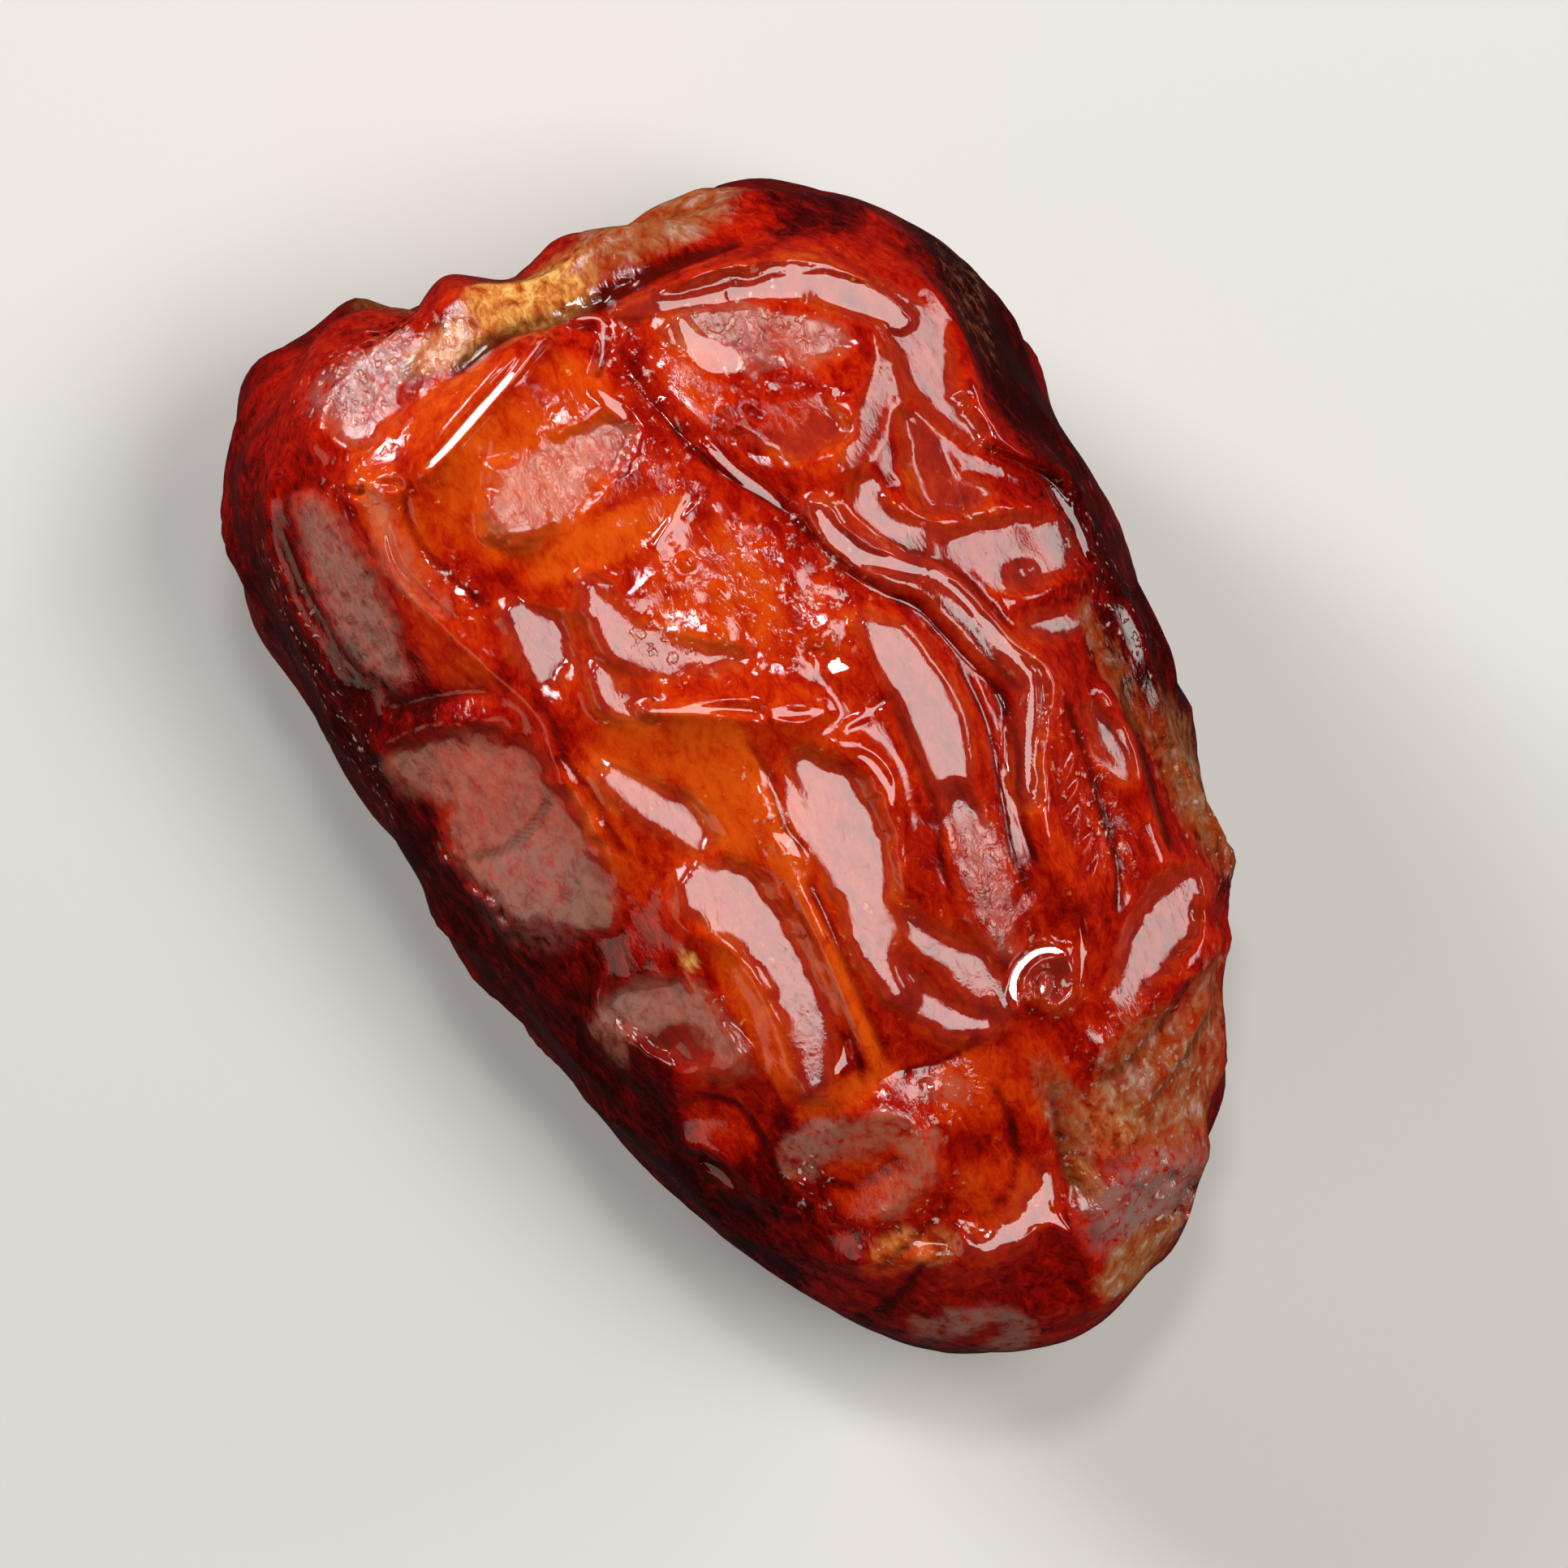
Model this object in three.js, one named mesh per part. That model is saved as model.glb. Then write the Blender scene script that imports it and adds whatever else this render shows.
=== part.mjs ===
// One ripe, soft date, picked, with its cap gone, lying on the side that its own weight has flattened.
// Millimetres, +Z up. X runs along the fruit from its stem end to its tip, and Z is 0 where it rests.
// The skin is one closed surface: an egg-shaped body, raised into folds and cut by creases where the
// flesh has shrunk away under it, with tighter panels of skin between them.
import * as THREE from "three";
import { mergeVertices } from "three/addons/utils/BufferGeometryUtils.js";

// Driving dimensions of the body.
const BODY = {
  widest_x: -7, // the widest station, from the middle of the fruit
  stem_length: 10.6, // from the widest station back to the stem end
  tip_length: 24.8, // from the widest station on to the tip
  half_width: 11.5,
  top: 9.8, // the body's axis up to its top
  under: 8.8, // the axis down to its underside, before that is flattened
  rest: 8.3, // the axis down to the surface that it rests on
  stem_round: 3.6, // 2 is an ellipse, more is blunter
  tip_round: 1.9,
  section_round: 2.25,
};
// The fruit bends a little in plan, and its blunt end is cut askew.
const SWAY = { middle: 0.15, each_way: 0.75, at: -8, over: 7 };
const STEM_SLANT = 0.1;

// Mesh: quads along, across and up the box that is swelled into the body.
const QUADS = { along: 38, across: 27, up: 21 };
const CREST_RADIUS = 0.45; // the folds' crests are rounded to this, so that the mesh can carry them
const PANEL_EDGE = 0.4; // a panel's border is this soft
const PANEL_SAMPLE = 0.6; // a panel's height is sampled this far out, as a share of its half-width
const STEPS_PER_SPAN = 3; // a route's straight steps between two of its points

// The stem end: a shallow cup with the round woody scar of the stalk in it, and puckers round it.
const SCAR = {
  cup: 5.4, depth: 1.4, disc: 2.3, disc_height: 0.8, edge: 0.12, puckers: 9, pucker_height: 0.35,
};

// Folds on the upper side: routes of [x, y] seen from above, crest height, and how far the flanks reach.
const UPPER_FOLDS = [
  { name: "stem panel rim", height: 0.8, reach: 1.1,
    route: [[-14.9, 1.4], [-14.5, 3.4], [-14, 5.6], [-13.2, 7.2], [-12, 7.9], [-10.4, 7.7], [-9, 6.5],
      [-8, 5.2], [-7, 4.3]] },
  { name: "long side ridge", height: 0.9, reach: 1.1,
    route: [[-7, 4.3], [-5.4, 4.9], [-4.4, 6], [-3, 6.8], [-1.4, 7.3], [-0.2, 7.8], [1, 7.1], [2.8, 6.3],
      [4.6, 5.9], [6.6, 6.1], [8.6, 5.2]] },
  { name: "shoulder branch", height: 0.6, reach: 1,
    route: [[-7.4, 5.8], [-6, 6.3], [-5.1, 7.3], [-4.8, 8.6], [-4.5, 9.9], [-2.7, 10.8]] },
  { name: "shoulder rim", height: 0.65, reach: 1,
    route: [[-13, 8.3], [-11.8, 9.4], [-10.2, 9.7], [-8, 9.3], [-6.4, 9.7], [-5, 10.8], [-2.8, 11]] },
  { name: "facet edge", height: 0.5, reach: 0.8, route: [[-2.6, 7.7], [-2.4, 9.2], [-2.7, 10.9]] },
  { name: "upper rib", height: 0.5, reach: 0.9,
    route: [[-2.7, 10.9], [-0.4, 10.8], [2, 10.5], [4.2, 10.3], [6.2, 10.2], [8, 9.8], [9.4, 9.1]] },
  { name: "upper swell", height: 0.5, reach: 1.1,
    route: [[0.2, 9.3], [1.8, 9.2], [3.6, 9.1], [5.4, 8.7], [7, 8.2]] },
  { name: "middle swell", height: 0.75, reach: 1.3,
    route: [[-4.2, 3.9], [-2.6, 4.5], [-0.4, 4.8], [1.8, 4.5], [4, 4.2], [6.4, 3.9]] },
  { name: "curl", height: 0.4, reach: 0.7,
    route: [[-1.2, 1], [-0.9, 2], [0, 2.7], [1.4, 2.6], [2.8, 2.1], [4.2, 1.7]] },
  { name: "cross fold", height: 0.75, reach: 0.9,
    route: [[-1.9, 2.4], [-2.3, 1], [-3, -0.2], [-3.8, -1.6], [-4.6, -3], [-5.8, -3.5]] },
  { name: "second cross fold", height: 0.5, reach: 0.8,
    route: [[-4, 0.8], [-4.7, -0.5], [-5.5, -1.6], [-6.6, -2.3], [-8, -2.6]] },
  { name: "twin rib", height: 0.35, reach: 0.6, route: [[-1.2, -0.7], [2, -0.8], [5, -0.8], [8.4, -1.1]] },
  { name: "lower panel crest", height: 0.6, reach: 0.9,
    route: [[0.6, -4.3], [1.9, -4], [3, -3.1], [4.6, -2.8], [6.4, -3], [8.4, -3.8]] },
  { name: "front crest", height: 0.85, reach: 1.1,
    route: [[-15.3, -0.4], [-14.5, -2], [-13.8, -3.6], [-12.9, -5.6], [-13.1, -6.8], [-13.8, -8]] },
  { name: "lower shoulder", height: 0.6, reach: 1,
    route: [[-12.9, -6.2], [-11.8, -6.9], [-10.4, -7.1], [-8.6, -6.5], [-6.8, -5.8], [-5, -5.1], [-3.4, -5.4],
      [-1.4, -5.1], [0.6, -5.1]] },
  { name: "flank rib", height: 0.5, reach: 0.8,
    route: [[-5.3, -5.4], [-5.9, -7.4], [-6.4, -9.4], [-6.4, -10.4]] },
  { name: "low flank rib", height: 0.45, reach: 0.9,
    route: [[-7.6, -9.9], [-9.6, -10.1], [-11.8, -10.2], [-13.6, -9.9], [-15, -8.9]] },
  { name: "tip crest", height: 0.7, reach: 0.9,
    route: [[12.6, 2.3], [13.5, 1.4], [14, 0.3], [14.1, -0.6], [13.2, -1.9], [12.6, -3.4], [12.2, -4.9]] },
  { name: "tip branch", height: 0.45, reach: 0.7,
    route: [[13.5, 1.6], [14.5, 2.1], [15.8, 2.2], [17.2, 1.8]] },
  { name: "papery edge", height: 0.5, reach: 0.8,
    route: [[14, 7], [13.9, 5], [14.2, 3.4], [15.2, 2.5]] },
  { name: "tip blister arch", height: 0.45, reach: 0.6,
    route: [[8.8, -4], [8.8, -2.2], [9.3, -0.9], [10.3, -0.5], [11.2, -1], [11.6, -2.2], [11.9, -3.4]] },
  { name: "flank curl", height: 0.45, reach: 0.7, route: [[7.3, -7], [7.9, -6.1], [9, -5.5], [10.4, -5.2]] },
  { name: "upper facet edge", height: 0.45, reach: 0.8,
    route: [[8.2, 9.5], [8.8, 8.4], [9.4, 7.2], [9.9, 5.6], [10.5, 4.4]] },
  { name: "tip margin rib", height: 0.3, reach: 0.8,
    route: [[9.8, 8.6], [10.8, 7.6], [11.6, 6.4], [12.3, 5]] },
  { name: "stem rim", height: 0.5, reach: 1,
    route: [[-15.7, 7.6], [-16.2, 5.6], [-16.3, 3.2], [-16.4, 0.8], [-16.6, -1.4], [-16.8, -3.4]] },
  { name: "stem flank", height: 0.4, reach: 0.9,
    route: [[-17, -3.8], [-16.4, -5.4], [-15.4, -7], [-14.6, -8.4]] },
];

// Creases on the upper side, as the folds, with a depth.
const UPPER_CREASES = [
  { name: "main crease", depth: 0.4, reach: 0.35,
    route: [[-15.2, 0.5], [-13.6, 0.9], [-12, 1.3], [-10.4, 1.8], [-9.2, 2.4], [-8, 3.2], [-6.8, 3.8],
      [-5.4, 4.3], [-4.3, 5], [-3.3, 5.7], [-1.8, 6.2], [-0.2, 6.7], [1.6, 6.1], [3.6, 5.5], [6.8, 5.1]] },
  { name: "stem crease", depth: 0.55, reach: 0.6,
    route: [[-15.3, 7], [-15.3, 4], [-15.5, 1.4], [-15.6, -0.6], [-15.4, -2.6], [-14.9, -4.6]] },
  { name: "groove above the side ridge", depth: 0.4, reach: 0.5,
    route: [[-6.3, 5.3], [-5, 6.2], [-4, 7], [-2.5, 7.5], [-1, 8]] },
  { name: "flank crease", depth: 0.4, reach: 0.5, route: [[-6.4, -6], [-7, -8], [-7.3, -9.6]] },
  { name: "tip crease", depth: 0.4, reach: 0.5, route: [[10.4, 3.4], [11.8, 3.1], [13, 2.7], [14, 3]] },
  { name: "waist crease", depth: 0.15, reach: 0.8,
    route: [[8.7, 3.4], [8.8, 1.6], [8.2, -0.2], [8.6, -2], [8.7, -4.4]] },
];

// Blisters on the upper side, where the skin stands off the flesh, and a broad hollow.
const UPPER_DOMES = [
  { name: "flank blister", at: [4.4, -6], radius: 3.2, height: 0.7 },
  { name: "tip blister", at: [10.4, -2.2], radius: 2.8, height: 0.3 },
  { name: "bubble", at: [7.7, 4.5], radius: 1.4, height: 0.5 },
  { name: "upper facet", at: [7.8, 8.6], radius: 3.4, height: 0.7 },
  { name: "stem panel hollow", at: [-11.2, 4.4], radius: 3.6, height: -0.35 },
];

// Panels of tight skin on the upper side: strokes of [x, y, half-width] seen from above. A panel rises by
// lean mm for each mm along X and Y, and may follow the body's own rise and fall along its stroke.
const TOP_LEAN = [-0.07, -0.19];
const FAR_SIDE = [0, -0.68];
const NEAR_SIDE = [-0.05, 0.72];
const UPPER_PANELS = [
  { name: "shoulder", lean: FAR_SIDE, follows: 0.3,
    stroke: [[-12.1, 8.5, 0.45], [-11.1, 8.9, 0.85], [-9.9, 8.85, 0.9], [-8.7, 8.8, 0.6], [-7.2, 9.2, 0.3]] },
  { name: "stem panel lip", lean: TOP_LEAN, follows: 0.1,
    stroke: [[-14.7, 1.7, 0.32], [-14.4, 3.2, 0.42], [-14.05, 4.8, 0.5], [-13.6, 6.3, 0.65],
      [-12.9, 7.3, 0.65], [-12, 7.9, 0.45]] },
  { name: "stem panel far lip", lean: [0, -0.62], follows: 0.3,
    stroke: [[-10.4, 7.9, 0.25], [-9.5, 7.4, 0.5], [-8.9, 6.7, 0.5], [-8, 5.6, 0.3]] },
  { name: "stem panel, wrinkled part", lean: TOP_LEAN, follows: 0.3,
    stroke: [[-13.6, 2.8, 0.5], [-13.1, 4, 0.8], [-12.2, 5.2, 0.9], [-11.5, 6.5, 0.6]] },
  { name: "stem panel, smooth part", lean: [0.05, -0.4], follows: 0.2,
    stroke: [[-10.6, 3.6, 0.6], [-9.8, 4.5, 1], [-9.4, 5.4, 0.7]] },
  { name: "hollow under the shoulder", lean: [0.05, -0.42], follows: 0.2,
    stroke: [[-8.4, 7.7, 0.3], [-7.4, 7.8, 0.7], [-6.3, 7.6, 0.7], [-5.8, 8.4, 0.5]] },
  { name: "long side ridge", lean: TOP_LEAN, follows: 0.9,
    stroke: [[-7.2, 4.3, 0.35], [-6.1, 4.6, 0.48], [-5, 5.3, 0.6], [-4.2, 6.3, 0.6], [-2.9, 6.8, 0.55],
      [-1.4, 7.2, 0.52], [-0.1, 7.7, 0.5], [0.8, 7.2, 0.46], [1.7, 6.6, 0.42], [2.8, 6.25, 0.35]] },
  { name: "shoulder branch, near part", lean: TOP_LEAN, follows: 0.5,
    stroke: [[-7.3, 5.7, 0.35], [-6.2, 5.8, 0.5], [-5.4, 6.3, 0.6], [-4.9, 6.9, 0.65]] },
  { name: "shoulder branch, far part", lean: FAR_SIDE, follows: 0.2,
    stroke: [[-4.5, 7.4, 0.65], [-4.1, 8.2, 0.95], [-3.7, 9, 1.15], [-3.6, 9.6, 0.95]] },
  { name: "upright fold", lean: FAR_SIDE, follows: 0,
    stroke: [[-1.6, 8.4, 0.3], [-1.4, 9, 0.42], [-1.2, 9.6, 0.34]] },
  { name: "upper swell", lean: [-0.1, -0.68], follows: 0,
    stroke: [[1.4, 9, 0.32], [2.3, 9.1, 0.52], [3.2, 9.1, 0.35]] },
  { name: "upper facet", lean: [-0.12, -0.66], follows: 0.1,
    stroke: [[7.1, 9.4, 0.6], [7.35, 8.9, 0.85], [7.9, 8.1, 0.85], [8.5, 7.2, 0.72], [9, 6.5, 0.5]] },
  { name: "bubble", lean: TOP_LEAN, follows: 0,
    stroke: [[7.3, 4.5, 0.65], [7.8, 4.6, 0.8], [8.2, 4.7, 0.55]] },
  { name: "middle swell", lean: TOP_LEAN, follows: 0.3,
    stroke: [[-3.8, 4.1, 0.32], [-2.7, 4.55, 0.66], [-1.2, 4.75, 0.85], [0.4, 4.6, 0.82], [1.9, 4.3, 0.5]] },
  { name: "middle swell, creased end", lean: [-0.12, -0.2], follows: 0.4,
    stroke: [[2, 4.35, 0.5], [3, 4.3, 0.72], [4.4, 4.15, 0.8], [5.5, 4, 0.75], [6.4, 3.8, 0.45]] },
  { name: "hook, far side", lean: [-0.12, -0.19], follows: 0.3,
    stroke: [[4.4, 1.6, 0.32], [5.5, 1.95, 0.5], [6.4, 2.6, 0.65], [7.7, 2.75, 0.68]] },
  { name: "hook, near side", lean: [-0.12, -0.19], follows: 0.3,
    stroke: [[5.6, 0.85, 0.35], [6.7, 0.95, 0.52], [7.6, 1.5, 0.55], [8.1, 2.3, 0.45]] },
  { name: "centre", lean: [-0.1, -0.19], follows: 0.3,
    stroke: [[-0.7, 0.8, 0.55], [0.5, 1.15, 0.95], [1.9, 1.1, 1.08], [3.3, 0.8, 0.92], [4.7, 0.5, 0.7],
      [6.2, 0.45, 0.4]] },
  { name: "cross fold", lean: TOP_LEAN, follows: 0.1,
    stroke: [[-7.9, -2.5, 0.42], [-7, -2.65, 0.62], [-6, -2.3, 0.72], [-5.3, -1.5, 0.66], [-4.8, -0.6, 0.5],
      [-4.4, 0.3, 0.3]] },
  { name: "cross fold foot", lean: TOP_LEAN, follows: 0.1,
    stroke: [[-5.8, -3.5, 0.32], [-4.8, -3.3, 0.52], [-4.2, -2.7, 0.42]] },
  { name: "pebble", lean: TOP_LEAN, follows: 0,
    stroke: [[-8.1, -4.8, 0.5], [-7.3, -4.55, 0.92], [-6.6, -4.5, 0.8]] },
  { name: "oblique", lean: TOP_LEAN, follows: 0.1,
    stroke: [[-2.9, -4.5, 0.36], [-2.1, -4, 0.6], [-1.2, -3.3, 0.72], [-0.3, -2.7, 0.55]] },
  { name: "lower", lean: [-0.13, -0.19], follows: 0.15,
    stroke: [[1.2, -3.4, 0.8], [1.9, -2.65, 1.05], [3, -2.3, 0.9], [4.5, -2.15, 0.75], [6, -2.25, 0.68],
      [7.6, -2.7, 0.5]] },
  { name: "hatched", lean: [0, -0.2], follows: 0.2,
    stroke: [[-11.6, -0.2, 0.6], [-11.25, -1.6, 1], [-11, -3, 1.2], [-10.8, -3.6, 0.95]] },
  { name: "stem flank", lean: [0.53, 0.23], follows: 0,
    stroke: [[-16.7, -4.4, 0.6], [-16, -5.6, 0.95], [-15.1, -6.8, 0.65]] },
  { name: "large flank", lean: NEAR_SIDE, follows: 0.4,
    stroke: [[-5.5, -9.4, 0.75], [-4.5, -7.9, 1.55], [-2.9, -7.6, 1.95], [-1.2, -7.2, 1.85],
      [0.1, -6.5, 1.05]] },
  { name: "low flank", lean: [0, 0.78], follows: 0.4,
    stroke: [[-13.4, -8.9, 0.5], [-11.6, -8.8, 0.75], [-9.8, -8.7, 0.7], [-8.3, -8.6, 0.4]] },
  { name: "flank blister", lean: NEAR_SIDE, follows: 0,
    stroke: [[3.3, -6.9, 0.6], [3.9, -5.9, 1.1], [4.9, -5.2, 1.05], [5.9, -4.8, 0.6]] },
  { name: "tip", lean: [-0.12, -0.19], follows: 0,
    stroke: [[12.8, 2.05, 0.35], [13.4, 1.65, 0.55], [13.8, 0.9, 0.48], [14.05, 0.1, 0.46],
      [13.8, -0.7, 0.4]] },
];

// Dimples drawn in after the panels.
const UPPER_DIMPLES = [
  { name: "bubble", at: [7.85, 4.55], radius: 0.8, depth: 0.35 },
  { name: "flank blister", at: [5.2, -5.8], radius: 1, depth: 0.3 },
  { name: "tip blister", at: [10.6, -2.7], radius: 1.4, depth: 0.35 },
  { name: "shoulder branch", at: [-3.1, 8.8], radius: 0.6, depth: 0.2 },
  { name: "tip", at: [16.6, -1.1], radius: 1.1, depth: 0.4 },
];

// Round the flanks and under the fruit the skin is crumpled into long cells with ridges between them,
// drawn by a seeded rule. The ridges swell and fade from place to place.
const CELLS = {
  seed: 20714, spacing_along: 4.6, spacing_round: 3.1, jitter: 0.36, stretch: 0.6, height: 0.7, reach: 0.8,
  sag: 0.12, bend: 0.9, top_share: 0.12,
};

// Numbers from 0 to 1, the same each time.
function seeded(seed) {
  let state = seed;
  return () => {
    state = (state * 1664525 + 1013904223) % 4294967296;
    return state / 4294967296;
  };
}

const smooth = (low, high, value) => THREE.MathUtils.smoothstep(value, low, high);

// How far along its half of the body a station lies, and how wide the body is there.
function station(x) {
  const stemward = x < BODY.widest_x;
  const along = (x - BODY.widest_x) / (stemward ? BODY.stem_length : BODY.tip_length);
  const power = stemward ? BODY.stem_round : BODY.tip_round;
  return { along, power, share: Math.max(0, 1 - Math.abs(along) ** power) ** (1 / power) };
}

const sway = (x) => SWAY.middle + SWAY.each_way * Math.tanh((x - SWAY.at) / SWAY.over);

function slant(x, y) {
  const along = Math.min(0, station(x).along);
  return STEM_SLANT * y * along * along;
}

// From the fruit as it lies to the straight body that its formula describes.
function straighten([x, y]) {
  const across = y - sway(x);
  return [x - slant(x, across), across];
}

// The straight body's surface in the direction of a point of the box, whose sides are at -1 and 1.
function bodyPoint(box) {
  const [along, across, up] = box.map((side) => Math.tan((side * Math.PI) / 4));
  const power = along < 0 ? BODY.stem_round : BODY.tip_round;
  const n = BODY.section_round;
  const ring = (Math.abs(across) ** n + Math.abs(up) ** n) ** (1 / n);
  const radial = (Math.abs(along) ** power + ring ** power) ** (-1 / power);
  return [
    BODY.widest_x + (along < 0 ? BODY.stem_length : BODY.tip_length) * radial * along,
    BODY.half_width * radial * across,
    (up < 0 ? BODY.under : BODY.top) * radial * up,
  ];
}

// The height of the straight body's upper side.
function upperHeight([x, across]) {
  const half = BODY.half_width * Math.max(station(x).share, 1e-3);
  const left = Math.max(0, 1 - Math.min(1, Math.abs(across) / half) ** BODY.section_round);
  return (BODY.top * half * left ** (1 / BODY.section_round)) / BODY.half_width;
}

// The point at a station, an angle round from the top towards +Y.
function roundPoint(x, angle) {
  const sine = Math.sin(angle);
  const cosine = Math.cos(angle);
  const n = BODY.section_round;
  const ring = station(x).share * (Math.abs(sine) ** n + Math.abs(cosine) ** n) ** (-1 / n);
  return [x, BODY.half_width * ring * sine, (cosine < 0 ? BODY.under : BODY.top) * ring * cosine];
}

// The way out of the straight body at one of its points.
function outward([x, y, z]) {
  const { along, power } = station(x);
  const n = BODY.section_round;
  const across = Math.abs(y) / BODY.half_width;
  const tall = z < 0 ? BODY.under : BODY.top;
  const up = Math.abs(z) / tall;
  const ring = Math.max(1e-6, (across ** n + up ** n) ** (1 / n));
  const length = x < BODY.widest_x ? BODY.stem_length : BODY.tip_length;
  const pull = ring ** (power - n);
  const slope = new THREE.Vector3(
    (Math.sign(along) * Math.abs(along) ** (power - 1)) / length,
    (Math.sign(y) * pull * across ** (n - 1)) / BODY.half_width,
    (Math.sign(z) * pull * up ** (n - 1)) / tall,
  );
  return slope.normalize().toArray();
}

// A smooth curve through points of any number of values, as short straight steps.
function curveThrough(points) {
  const last = points.length - 1;
  const steps = [];
  for (let i = 0; i < last; i += 1) {
    const [a, b, c, d] = [i - 1, i, i + 1, i + 2].map((k) => points[Math.min(last, Math.max(0, k))]);
    for (let k = 0; k < STEPS_PER_SPAN; k += 1) {
      const t = k / STEPS_PER_SPAN;
      steps.push(b.map((value, axis) => {
        const rise = (c[axis] - a[axis]) / 2;
        const fall = (d[axis] - value) / 2;
        const gap = c[axis] - value;
        return value + t * (rise + t * (3 * gap - 2 * rise - fall + t * (rise + fall - 2 * gap)));
      }));
    }
  }
  steps.push(points[last]);
  return steps;
}

// The nearest place on a line to a point, by its first axes: how far off, and the line's values there.
function nearestOn(line, point, axes) {
  let best = { away: Infinity };
  for (let i = 0; i + 1 < line.length; i += 1) {
    const from = line[i];
    const to = line[i + 1];
    let dot = 0;
    let length = 1e-12;
    for (let k = 0; k < axes; k += 1) {
      dot += (point[k] - from[k]) * (to[k] - from[k]);
      length += (to[k] - from[k]) ** 2;
    }
    const t = Math.min(1, Math.max(0, dot / length));
    let away = 0;
    for (let k = 0; k < axes; k += 1) away += (point[k] - from[k] - t * (to[k] - from[k])) ** 2;
    if (away < best.away) best = { away, from, to, t, share: (i + t) / (line.length - 1) };
  }
  const at = best.from.map((value, k) => value + best.t * (best.to[k] - value));
  return { away: Math.sqrt(best.away), share: best.share, at };
}

// How high a fold stands at a point: a rounded crest with hollow flanks, lower towards its two ends.
function standing(point, { line, size, reach }) {
  const { away, share } = nearestOn(line, point, 3);
  const off = Math.hypot(away, CREST_RADIUS) - CREST_RADIUS;
  return size * (0.25 + 0.75 * smooth(0, 0.18, Math.min(share, 1 - share))) * Math.exp(-off / reach);
}

const joined = (values) => values.reduce((sum, value) => sum + value ** 4, 0) ** 0.25;

// The middles of the cells, set out in rings from end to end.
function cellMiddles() {
  const random = seeded(CELLS.seed);
  const cells = [];
  const rings = Math.round((BODY.stem_length + BODY.tip_length) / CELLS.spacing_along);
  for (let ring = 0; ring <= rings; ring += 1) {
    const x = BODY.widest_x - BODY.stem_length + ((BODY.stem_length + BODY.tip_length) * ring) / rings;
    const girth = 2 * Math.PI * BODY.half_width * station(x).share;
    const count = Math.max(1, Math.round(girth / CELLS.spacing_round));
    for (let i = 0; i < count; i += 1) {
      const angle = ((i + 0.5 * (ring % 2) + CELLS.jitter * (2 * random() - 1)) * 2 * Math.PI) / count;
      const shift = CELLS.jitter * CELLS.spacing_along * (2 * random() - 1);
      const [, y, z] = roundPoint(x, angle);
      cells.push([CELLS.stretch * (x + shift), y, z]);
    }
  }
  return cells;
}

// The crumpled skin of the flanks and the underside.
function crumple([x, y, z], cells) {
  const bent = [
    CELLS.stretch * (x + CELLS.bend * Math.sin(0.55 * y + 0.4 * z)),
    y + CELLS.bend * Math.sin(0.5 * x + 0.9) * Math.cos(0.35 * z),
    z + CELLS.bend * Math.sin(0.45 * x - 0.6 * y + 2.1),
  ];
  let first = Infinity;
  let second = Infinity;
  for (const cell of cells) {
    const away = Math.hypot(bent[0] - cell[0], bent[1] - cell[1], bent[2] - cell[2]);
    second = Math.min(second, Math.max(first, away));
    first = Math.min(first, away);
  }
  const off = Math.hypot((second - first) / 2, CREST_RADIUS) - CREST_RADIUS;
  const swing = Math.sin(0.7 * x + 1.3 * Math.sin(0.5 * y) + 0.8 * z) * Math.cos(0.6 * y - 0.3 * x);
  const strength = 0.55 + 0.45 * swing;
  return CELLS.height * strength * Math.exp(-off / CELLS.reach) - CELLS.sag;
}

// The stem end's cup, scar and puckers, by distance from the middle of the blunt end.
function stemEnd([x, y, z]) {
  if (x > BODY.widest_x) return 0;
  const away = Math.hypot(y, z);
  const cup = Math.max(0, 1 - (away / SCAR.cup) ** 2) ** 2;
  const disc = 1 / (1 + Math.exp((away - SCAR.disc) / SCAR.edge));
  const ring = smooth(SCAR.disc, SCAR.cup, away) * (1 - smooth(SCAR.cup, BODY.half_width, away));
  const pucker = Math.sin(SCAR.puckers * Math.atan2(z, y) + 0.5 * away);
  return SCAR.disc_height * disc - SCAR.depth * cup + SCAR.pucker_height * ring * pucker;
}

// Every fold, crease and blister, laid on the straight body.
function skinRelief() {
  const laid = (route) => route.map((spot) => [...straighten(spot), upperHeight(straighten(spot))]);
  return {
    folds: UPPER_FOLDS.map(({ route, height, reach }) => (
      { line: curveThrough(laid(route)), size: height, reach })),
    creases: UPPER_CREASES.map(({ route, depth, reach }) => (
      { line: curveThrough(laid(route)), size: depth, reach })),
    domes: UPPER_DOMES.map((dome) => ({ ...dome, middle: laid([dome.at])[0] })),
    cells: cellMiddles(),
  };
}

// Where a point of the straight body goes with its folds, creases, blisters and crumples.
function looseSkin(body, { folds, creases, domes, cells }) {
  const out = outward(body);
  const raised = joined(folds.map((fold) => standing(body, fold)));
  const cut = joined(creases.map((crease) => standing(body, crease)));
  const swelled = domes.reduce((sum, { middle, radius, height }) => {
    const away = Math.hypot(...middle.map((value, k) => value - body[k])) / radius;
    return sum + height * Math.max(0, 1 - away * away) ** 2;
  }, 0);
  const topside = smooth(1, 5, body[2]);
  const resting = smooth(0.75, 0.95, -body[2] / BODY.rest);
  const loose = (1 - (1 - CELLS.top_share) * topside) * (1 - 0.85 * resting);
  const moved = raised - cut + swelled + stemEnd(body) + loose * crumple(body, cells);
  return body.map((value, k) => value + moved * out[k]);
}

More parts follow.
